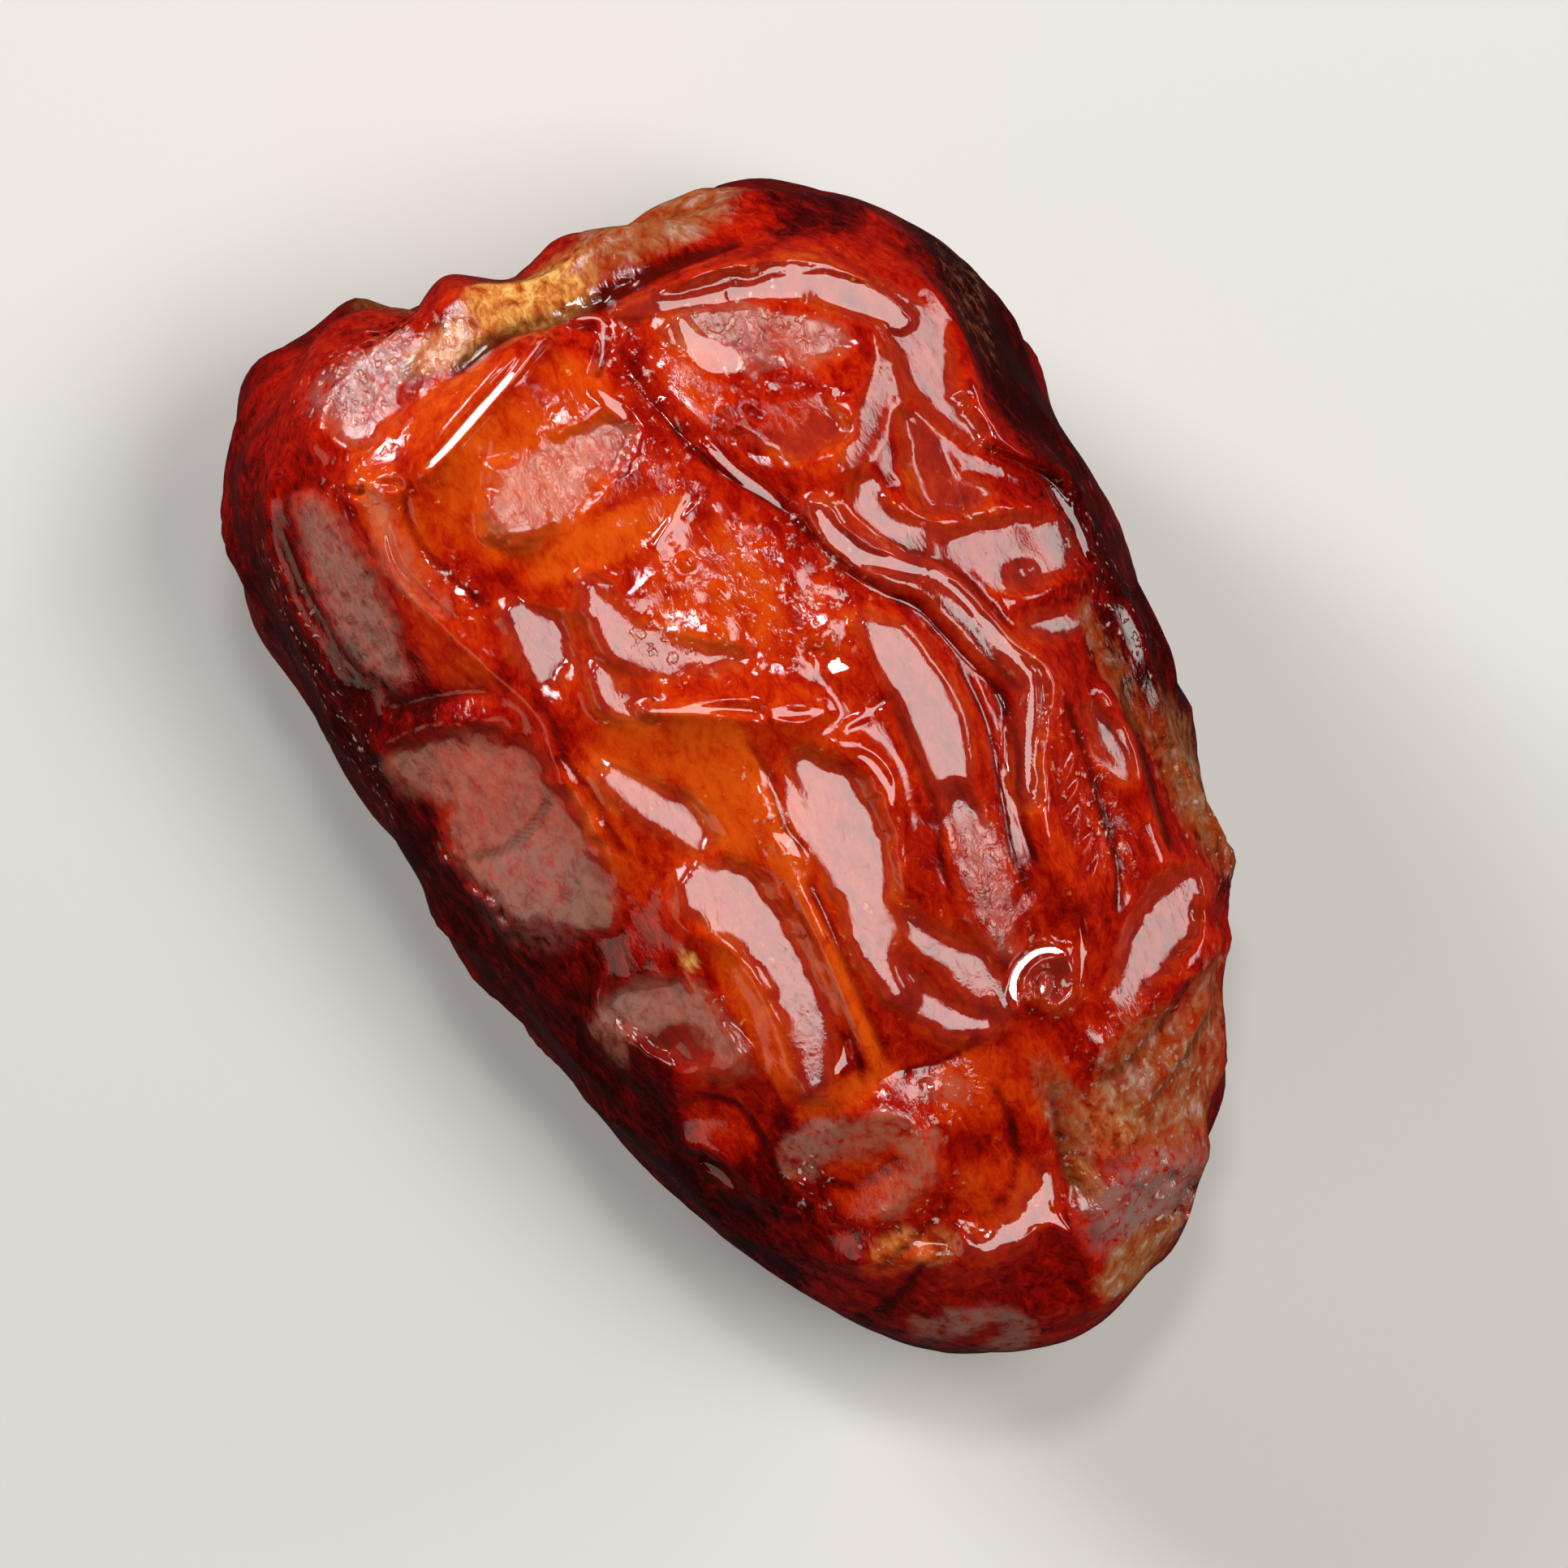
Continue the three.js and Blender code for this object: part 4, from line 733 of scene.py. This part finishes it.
# Where it sparkles: a rougher grain, and painted glints as pale specks.
SPARKLING = [
    (-12, 1, 2.6, 0.7, 0.8), (-5.4, 2.8, 2, 1.6, 0.8), (-6, -0.6, 1.6, 1.4, 0.6), (-12.4, 4.6, 1.4, 2.2, 0.8),
    (15, 5, 1.2, 1.8, 1.0), (12.4, -1.6, 1, 1.6, 0.9), (10, -4, 1, 0.7, 1.0), (3, 7.6, 2.6, 0.7, 0.8),
    (4.6, 4.2, 2.2, 0.8, 0.7), (-16, -5.4, 1, 2.4, 0.9), (-13.4, -7, 0.8, 1.2, 0.8), (-9.4, -6, 1, 0.6, 0.8),
    (13.4, 3, 1, 0.7, 0.7), (0.4, -0.7, 2, 0.5, 0.7), (-2, 10.6, 3, 0.6, 0.7), (-9, -10.4, 4, 0.5, 0.7),
    (8, 4.5, 0.8, 0.8, 1.0), (9.6, 0.4, 0.8, 1.2, 0.6), (11.6, 6, 2.4, 2, 0.4), (6, 10.3, 3, 0.6, 0.6),
]
# Where it is ashen grey-pink: partly dulled skin, partly a painted sheen of dim reflections.
ASHEN_AND_SHEEN = [
    (14.8, 4.6, 1.3, 1.9, 1.0), (17.1, -1.2, 0.35, 0.8, 0.7), (-0.9, -7.6, 1.6, 1.5, 0.45), (-16, -5.8, 0.7, 1.6, 0.6), (16.6, -0.5, 0.7, 0.4, 0.7),
    (15.7, -2, 0.35, 1.1, 0.7), (9.1, -3.4, 0.5, 0.9, 0.4), (-10.6, -8.9, 2.6, 0.7, 0.35), (3.4, -6.4, 0.6, 1, 0.4),
]
# Where it is golden; the strip at the stem end is a painted highlight.
GOLD_AND_HIGHLIGHT = [
    (-16.2, -0.6, 0.7, 1.7, 1.0), (-15.9, -3.2, 0.5, 1.4, 0.6), (12.6, -2.5, 0.3, 0.6, 0.6), (13.4, 3.1, 0.7, 0.4, 0.35),
    (2.8, -4.4, 0.3, 0.2, 1.0), (13.2, -1.5, 0.4, 0.6, 0.3), (12.2, 4.4, 1, 0.8, 0.25),
]


def keep(mesh, name, values):
    """Stores a value for each corner of the skin, for its material to read."""
    mesh.attributes.new(name, "FLOAT", "POINT").data.foreach_set("value", np.asarray(values, np.float32))


def milky_and_sheen(body, upper):
    """How milky the skin is: partly lifted off the flesh, partly a painted reflection of a dim light."""
    found = np.zeros(len(body))
    ragged = 0.3 * rippled(body, 0.8)
    for strength, stroke in LIFTED_AND_SHEEN:
        flat = np.array(stroke, float)
        flat[:, 0], flat[:, 1] = straighten(flat[:, 0], flat[:, 1])
        line = curve_through(flat)
        near = close_to(body[:, :2], line, line[:, 2].max() + 0.6)
        away, _, at = nearest_on(line, body[near, :2])
        found[near] = np.maximum(found[near], strength * smooth(-0.13, 0.13, at[:, 2] - away + ragged[near]))
    return found * upper


mesh, body, relief = date_skin()
seen_x = body[:, 0] + slant(body[:, 0], body[:, 1])
seen_y = body[:, 1] + sway(body[:, 0])
upper = smooth(-0.5, 2, body[:, 2])
# The stem end's scar, and the dry collar round it.
off = np.hypot(body[:, 1], body[:, 2])
stemward = body[:, 0] < WIDEST_X
scar = stemward * (1 - smooth(1.9, 2.5, off))
collar = stemward * smooth(2, 2.8, off) * (1 - smooth(3, 5.4, off))
# Painted shade: the flesh is made darkest on the low side towards the tip, and dark along both borders, where the skin
# lies in shade.
shaded_low_side = smooth(3.5, 9.5, -seen_y + 0.22 * seen_x)
plain = 0.5 - 0.42 * shaded_low_side - 0.42 * smooth(8.8, 11.2, seen_y)
glow_and_shade = np.maximum(place_spots(GLOW, seen_x, seen_y, upper), plain * upper)
# Stored together: the flesh glowing through the skin, and the painted shade.
keep(mesh, "glow_and_shade", glow_and_shade - place_spots(PAINTED_SHADE, seen_x, seen_y, upper))
keep(mesh, "dry", place_spots(DRY, seen_x, seen_y, upper))
keep(mesh, "gold_and_highlight", np.maximum(place_spots(GOLD_AND_HIGHLIGHT, seen_x, seen_y, upper), 0.5 * collar))
keep(mesh, "milky_and_sheen", milky_and_sheen(body, upper))
keep(mesh, "panel", relief["panels"] * (1 - relief_masks(body)[0]))
keep(mesh, "ashen_and_sheen", place_spots(ASHEN_AND_SHEEN, seen_x, seen_y, upper))
# Panel edges: a lighter band round each panel's edge, with a painted shade line on the edge itself.
keep(mesh, "rim", relief["rims"] * (1 - relief_masks(body)[0]))
keep(mesh, "sparkle", place_spots(SPARKLING, seen_x, seen_y, upper))
keep(mesh, "calm", relief["calm"])
keep(mesh, "wrinkled", relief_masks(body)[0])
keep(mesh, "crest", np.clip(relief["raised"] + np.maximum(0, relief["ridges"]), 0, 1))
# Painted shade in the creases, deep ones and hair-fine ones.
keep(mesh, "crease", np.maximum(np.clip(relief["cut"] / 0.42, 0, 1) ** 6, 0.8 * relief["thin"]))
keep(mesh, "upper", upper)
keep(mesh, "scar", scar)


def node(tree, kind, at, **values):
    """A node, with values for its settings and its input sockets."""
    made = tree.nodes.new(kind)
    made.location = (at[0] * 220, at[1] * 180)
    for name, value in values.items():
        if name in made.inputs:
            made.inputs[name].default_value = value
        else:
            setattr(made, name, value)
    return made


def feed(tree, socket, value):
    """Gives a socket a number, a colour or another socket's output."""
    if isinstance(value, (int, float)):
        socket.default_value = value
    elif isinstance(value, tuple):
        socket.default_value = (*value, 1)
    else:
        tree.links.new(value, socket)


def ramp(tree, at, fac, stops):
    made = tree.nodes.new("ShaderNodeValToRGB")
    made.location = (at[0] * 220, at[1] * 180)
    elements = made.color_ramp.elements
    while len(elements) < len(stops):
        elements.new(0.5)
    for element, (position, colour) in zip(elements, stops):
        element.position = position
        element.color = (*colour, 1)
    feed(tree, made.inputs[0], fac)
    return made.outputs[0]


def maths(tree, at, operation, *values, clamp=False):
    made = node(tree, "ShaderNodeMath", at, operation=operation, use_clamp=clamp)
    for socket, value in zip(made.inputs, values):
        feed(tree, socket, value)
    return made.outputs[0]


def mixed(tree, at, share, first, second):
    made = node(tree, "ShaderNodeMix", at, data_type="RGBA")
    feed(tree, made.inputs[0], share)
    feed(tree, made.inputs[6], first)
    feed(tree, made.inputs[7], second)
    return made.outputs[2]


def noise(tree, at, places, scale, detail=3.0, roughness=0.5, distortion=0.0):
    made = node(tree, "ShaderNodeTexNoise", at, Scale=scale, Detail=detail, Roughness=roughness)
    made.inputs["Distortion"].default_value = distortion
    tree.links.new(places, made.inputs["Vector"])
    return made.outputs[0]


def group(name, inputs, outputs):
    """An empty shader node group with named sockets, and the nodes that stand for them."""
    tree = bpy.data.node_groups.new(name, "ShaderNodeTree")
    for label, kind, value in inputs:
        socket = tree.interface.new_socket(label, in_out="INPUT", socket_type=kind)
        if value is not None:
            socket.default_value = value
    for label, kind in outputs:
        tree.interface.new_socket(label, in_out="OUTPUT", socket_type=kind)
    return tree, tree.nodes.new("NodeGroupInput").outputs, tree.nodes.new("NodeGroupOutput").inputs


def placed(tree, made, at, **values):
    """A node group placed in a material, with its inputs fed."""
    box = node(tree, "ShaderNodeGroup", at, node_tree=made)
    for label, value in values.items():
        feed(tree, box.inputs[label], value)
    return box.outputs


def flesh_group():
    """The flesh seen through the skin: from near black where it is thick to orange where it is thin."""
    tree, given, out = group(
        "flesh through skin",
        [("Places", "NodeSocketVector", None), ("Thinness", "NodeSocketFloat", 0.5), ("Mottling", "NodeSocketFloat", 0.9)],
        [("Colour", "NodeSocketColor")],
    )
    blotches = noise(tree, (0, 0), given["Places"], 1.0, 4.0, 0.6, 0.8)
    threads = noise(tree, (0, 1), given["Places"], 2.8, 6.0, 0.8, 0.7)
    wavering = maths(tree, (1, 0), "MULTIPLY", maths(tree, (1, 1), "SUBTRACT", blotches, 0.5), given["Mottling"])
    threading = maths(tree, (1, 2), "MULTIPLY", maths(tree, (1, 3), "MULTIPLY_ADD", threads, 1.7, -0.85), given["Mottling"])
    thin = maths(tree, (2, 0), "ADD", given["Thinness"], wavering)
    thin = maths(tree, (3, 0), "ADD", thin, threading, clamp=True)
    colour = ramp(tree, (4, 0), thin, [
        (0.0, (0.025, 0.0004, 0.0002)), (0.2, (0.1, 0.0008, 0.0003)), (0.42, (0.34, 0.0035, 0.0005)),
        (0.6, (0.52, 0.016, 0.0008)), (0.8, (0.66, 0.05, 0.0015)), (1.0, (0.76, 0.095, 0.004)),
    ])
    tree.links.new(colour, out["Colour"])
    return tree


def flecks_group():
    """Scattered irregular flecks, as a mask."""
    tree, given, out = group(
        "flecks",
        [("Places", "NodeSocketVector", None), ("Scale", "NodeSocketFloat", 1.5), ("Amount", "NodeSocketFloat", 0.1)],
        [("Mask", "NodeSocketFloat")],
    )
    crowd = noise(tree, (0, 0), given["Places"], 0.5, 2.0)
    speck = node(tree, "ShaderNodeTexNoise", (0, 1), Detail=3.0, Roughness=0.6)
    tree.links.new(given["Places"], speck.inputs["Vector"])
    tree.links.new(given["Scale"], speck.inputs["Scale"])
    level = maths(tree, (1, 0), "MULTIPLY_ADD", crowd, 0.25, given["Amount"])
    high = maths(tree, (2, 0), "ADD", speck.outputs[0], level)
    mask = maths(tree, (3, 0), "MULTIPLY_ADD", high, 14.0, -12.9, clamp=True)
    tree.links.new(mask, out["Mask"])
    return tree


def skin_material():
    material = bpy.data.materials.new("date skin")
    material.use_nodes = True
    tree = material.node_tree
    tree.nodes.clear()
    links = tree.links
    coords = tree.nodes.new("ShaderNodeTexCoord")
    millimetres = node(tree, "ShaderNodeVectorMath", (-8, 0), operation="SCALE", Scale=1000.0)
    links.new(coords.outputs["Object"], millimetres.inputs[0])
    places = millimetres.outputs[0]
    stretched = node(tree, "ShaderNodeMapping", (-7, -2))
    stretched.inputs["Scale"].default_value = (0.6, 1, 1)
    links.new(places, stretched.inputs["Vector"])
    long_places = stretched.outputs[0]

    def stored(name, at):
        return node(tree, "ShaderNodeAttribute", at, attribute_name=name).outputs["Fac"]

    glow_and_shade, dry, gold_and_highlight, milk_and_sheen = (stored(name, (-8, 3 + i)) for i, name in enumerate(("glow_and_shade", "dry", "gold_and_highlight", "milky_and_sheen")))
    fine, crest, crease = (stored(name, (-8, 7 + i)) for i, name in enumerate(("wrinkled", "crest", "crease")))
    upper_side, scar = stored("upper", (-8, 10)), stored("scar", (-8, 11))
    panel, rim, sparkle = (stored(name, (-8, 12 + i)) for i, name in enumerate(("panel", "rim", "sparkle")))
    ashen_and_sheen, calm = stored("ashen_and_sheen", (-8, 15)), stored("calm", (-8, 16))

    clouds = noise(tree, (-6, 0), long_places, 0.3, 4.0, 0.55, 0.6)
    away = maths(tree, (-5, 2), "SUBTRACT", 1.0, upper_side)
    hidden = maths(tree, (-5, 1), "MULTIPLY", maths(tree, (-5, 0), "MULTIPLY", clouds, away), 0.5)
    # Thinness: the flesh's glow together with the painted shade stored with it.
    thin = maths(tree, (-4, 1), "ADD", glow_and_shade, hidden)
    thin = maths(tree, (-3, 2), "MULTIPLY_ADD", crest, 0.06, thin)
    # Painted shade: thinner, darker flesh colour in the creases.
    thin = maths(tree, (-3, 3), "MULTIPLY_ADD", crease, -0.3, thin)
    # A lighter band round each panel's edge.
    thin = maths(tree, (-3, 4), "MULTIPLY_ADD", rim, 0.2, thin)
    thin = maths(tree, (-3, 5), "MULTIPLY", thin, 0.92)
    mottling = maths(tree, (-3, 0), "MULTIPLY_ADD", upper_side, 0.4, 0.28)
    colour = placed(tree, flesh_group(), (-2, 1), Places=long_places, Thinness=thin, Mottling=mottling)["Colour"]

    film = noise(tree, (-6, -4), places, 2.2, 5.0, 0.7, 0.4)
    colour = mixed(tree, (-1, 1), maths(tree, (-2, 3), "MULTIPLY", panel, 0.4), colour, (0.26, 0.035, 0.022))
    # Painted reflection in part: the milky places are paled towards a pinkish grey.
    cloudy = maths(tree, (-3, -4), "MULTIPLY", milk_and_sheen, maths(tree, (-4, -4), "MULTIPLY_ADD", film, 4.0, -1.35, clamp=True))
    paler = mixed(tree, (-1, 0), 0.7, colour, (0.5, 0.2, 0.12))
    colour = mixed(tree, (0, 0), cloudy, colour, paler)
    # Painted sheen in part: the ashen places are mixed towards a grey-pink.
    dulled_and_sheen = maths(tree, (-2, 4), "MULTIPLY", ashen_and_sheen, maths(tree, (-3, 6), "MULTIPLY_ADD", film, 6.0, -2.3, clamp=True))
    colour = mixed(tree, (0, 1), dulled_and_sheen, colour, (0.31, 0.16, 0.14))

    streaks = noise(tree, (-6, -3), long_places, 2.8, 6.0, 0.68, 0.5)
    blotchy = noise(tree, (-6, -3.5), places, 1.5, 5.0, 0.62, 0.6)
    papery = ramp(tree, (-4, -3), blotchy, [
        (0.36, (0.3, 0.035, 0.005)), (0.46, (0.36, 0.09, 0.018)), (0.56, (0.36, 0.15, 0.07)), (0.66, (0.5, 0.32, 0.24)),
    ])
    cover = maths(tree, (-3, -2), "MULTIPLY_ADD", dry, 1.7, -0.75)
    cover = maths(tree, (-2, -2), "ADD", cover, maths(tree, (-3, -1), "MULTIPLY_ADD", streaks, 2.4, -0.7), clamp=True)
    cover = maths(tree, (-1, -2), "MULTIPLY", cover, maths(tree, (-2, -3), "MULTIPLY", dry, 4.0, clamp=True))
    colour = mixed(tree, (1, 0), cover, colour, papery)
    # Golden skin, with a painted highlight at the stem end.
    gilt = ramp(tree, (-4, -5), streaks, [(0.35, (0.4, 0.1, 0.012)), (0.5, (0.72, 0.3, 0.06)), (0.65, (0.85, 0.52, 0.17))])
    gilding = maths(tree, (-2, -5), "MULTIPLY", gold_and_highlight, maths(tree, (-3, -5), "MULTIPLY_ADD", streaks, 2.2, -0.3, clamp=True))
    colour = mixed(tree, (2, 0), gilding, colour, gilt)
    # Painted shade: the creases and the panels' edge lines are darkened towards near black.
    rim_shade = maths(tree, (0, 3), "MULTIPLY", maths(tree, (0, 4), "POWER", rim, 6.0), 0.6)
    painted_shade = maths(tree, (2, 2), "MAXIMUM", crease, rim_shade)
    colour = mixed(tree, (3, 0), maths(tree, (3, 3), "MULTIPLY", painted_shade, 0.6), colour, (0.09, 0.004, 0.001))
    scattered = maths(tree, (-4, -6), "MULTIPLY_ADD", gold_and_highlight, 0.12, maths(tree, (-5, -6), "MULTIPLY_ADD", dry, 0.08, 0.1))
    flecks = placed(tree, flecks_group(), (-3, -6), Places=places, Scale=2.6, Amount=scattered)["Mask"]
    bright = maths(tree, (2, 3), "MULTIPLY_ADD", thin, 3.0, -1.2, clamp=True)
    colour = mixed(tree, (4, 0), maths(tree, (3, 2), "MULTIPLY", flecks, bright), colour, (0.75, 0.34, 0.09))
    wood = ramp(tree, (3, -4), streaks, [(0.35, (0.03, 0.008, 0.003)), (0.5, (0.14, 0.05, 0.018)), (0.62, (0.3, 0.14, 0.06))])
    colour = mixed(tree, (5, 0), scar, colour, wood)

    shader = node(tree, "ShaderNodeBsdfPrincipled", (8, 0))
    shader.inputs["Subsurface Weight"].default_value = 0.25
    shader.inputs["Subsurface Radius"].default_value = (1.0, 0.25, 0.08)
    shader.inputs["Subsurface Scale"].default_value = 0.0007
    shader.inputs["IOR"].default_value = 1.45
    shader.inputs["Specular IOR Level"].default_value = 0.01
    shader.inputs["Coat Roughness"].default_value = 0.03
    shader.inputs["Coat IOR"].default_value = 1.5
    matt = maths(tree, (5, -2), "MAXIMUM", maths(tree, (4, -2), "MULTIPLY", cover, 0.3), scar)
    links.new(maths(tree, (6, -2), "SUBTRACT", 1.0, matt), shader.inputs["Coat Weight"])
    links.new(maths(tree, (6, -3), "MULTIPLY_ADD", cover, 0.15, 0.4), shader.inputs["Roughness"])

    # Painted glints: pale specks mixed into the colour where it sparkles; the same grain roughens the bump.
    grain = noise(tree, (-6, -8), places, 3.4, 2.0, 0.5)
    grain = maths(tree, (-5, -8), "MAXIMUM", maths(tree, (-6, -9), "SUBTRACT", grain, 0.57), 0.0)
    painted_glints = maths(tree, (5, 3), "MULTIPLY", sparkle, maths(tree, (5, 4), "MULTIPLY_ADD", grain, 16.0, -1.0, clamp=True))
    colour = mixed(tree, (6, 0), maths(tree, (6, 1), "MULTIPLY", painted_glints, 0.8), colour, (0.8, 0.58, 0.46))

    wrinkles = noise(tree, (-6, -7), long_places, 3.6, 4.0, 0.62, 1.2)
    rough = maths(tree, (-5, -7), "MAXIMUM", maths(tree, (-6, -6), "MAXIMUM", fine, dry), away)
    much = maths(tree, (-4, -7), "MULTIPLY_ADD", rough, 0.03, 0.008)
    height = maths(tree, (-3, -7), "MULTIPLY", wrinkles, much)
    graining = maths(tree, (-4, -8), "MULTIPLY_ADD", sparkle, 0.2, 0.01)
    height = maths(tree, (-2, -7), "MULTIPLY_ADD", grain, graining, height)
    height = maths(tree, (-1, -7), "MULTIPLY", height, maths(tree, (-2, -8), "SUBTRACT", 1.0, calm))
    links.new(colour, shader.inputs["Base Color"])
    bump = node(tree, "ShaderNodeBump", (6, -5), Strength=1.0, Distance=0.001)
    links.new(height, bump.inputs["Height"])
    links.new(bump.outputs[0], shader.inputs["Normal"])
    links.new(bump.outputs[0], shader.inputs["Coat Normal"])
    output = node(tree, "ShaderNodeOutputMaterial", (10, 0))
    links.new(shader.outputs[0], output.inputs[0])
    return material


date = bpy.data.objects.new("date_skin", mesh)
bpy.context.scene.collection.objects.link(date)
mesh.materials.append(skin_material())
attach(date, "root")
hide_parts("date_fruit")

# The plain pale floor, which the glossy skin doesn't mirror.
floor_mesh = bpy.data.meshes.new("floor")
bm = bmesh.new()
bmesh.ops.create_grid(bm, x_segments=1, y_segments=1, size=1.2)
bm.to_mesh(floor_mesh)
bm.free()
floor = bpy.data.objects.new("floor", floor_mesh)
bpy.context.scene.collection.objects.link(floor)
floor.visible_glossy = False
floor_material = bpy.data.materials.new("pale floor")
floor_material.use_nodes = True
paint = floor_material.node_tree.nodes["Principled BSDF"]
paint.inputs["Base Color"].default_value = (0.8, 0.785, 0.76, 1)
paint.inputs["Roughness"].default_value = 0.9
floor_mesh.materials.append(floor_material)

MIDDLE = Vector((0, 0, 0.011))


def softbox(name, towards, tilt, distance, size, radiance, tint=(1, 1, 1)):
    """A soft panel of light that faces the date: towards is its bearing in plan, tilt its angle off the vertical."""
    light = bpy.data.lights.new(name, "AREA")
    light.shape = "RECTANGLE"
    light.size, light.size_y = size
    light.energy = radiance * math.pi * size[0] * size[1]
    light.color = tint
    lamp = bpy.data.objects.new(name, light)
    bearing, lean = math.radians(towards), math.radians(tilt)
    way = Vector((math.sin(lean) * math.cos(bearing), math.sin(lean) * math.sin(bearing), math.cos(lean)))
    lamp.location = MIDDLE + distance * way
    lamp.rotation_euler = way.to_track_quat("Z", "Y").to_euler()
    bpy.context.scene.collection.objects.link(lamp)
    return lamp


# Each light is set where the panels of the skin that lean its way mirror it into the camera.
softbox("large soft light", 70, 23, 0.5, (0.24, 0.17), 9, (1, 0.97, 0.92))
softbox("far soft light", 90, 68.5, 0.5, (0.3, 0.12), 7.5, (1, 0.97, 0.92))
softbox("near soft light", -86, 71.5, 0.5, (0.36, 0.2), 1.15, (1, 0.85, 0.65))
softbox("end light", 203, 61, 0.55, (0.16, 0.24), 13)
softbox("small light", 157.6, 16.7, 0.45, (0.05, 0.05), 45)
softbox("crest light", 205.6, 75.6, 0.5, (0.06, 0.06), 48)

world = bpy.data.worlds.new("room")
world.use_nodes = True
world.node_tree.nodes["Background"].inputs[0].default_value = (1, 1, 1, 1)
world.node_tree.nodes["Background"].inputs[1].default_value = 0.015
bpy.context.scene.world = world

# The camera looks straight down, turned as the photograph's was.
camera_data = bpy.data.cameras.new("camera")
camera_data.lens = 300
camera_data.sensor_width = 36
camera_data.clip_start = 0.01
camera = bpy.data.objects.new("camera", camera_data)
FRAME_WIDTH = 0.0455
turn = math.radians(25)
right = Vector((math.sin(turn), math.cos(turn), 0))
up = Vector((-math.cos(turn), math.sin(turn), 0))
camera.location = MIDDLE + Vector((0, 0, FRAME_WIDTH * camera_data.lens / camera_data.sensor_width))
axes = [right, up, Vector((0, 0, 1))]
camera.rotation_euler = Matrix(axes).transposed().to_euler()
bpy.context.scene.collection.objects.link(camera)
bpy.context.scene.camera = camera
bpy.context.scene.view_settings.view_transform = "Standard"
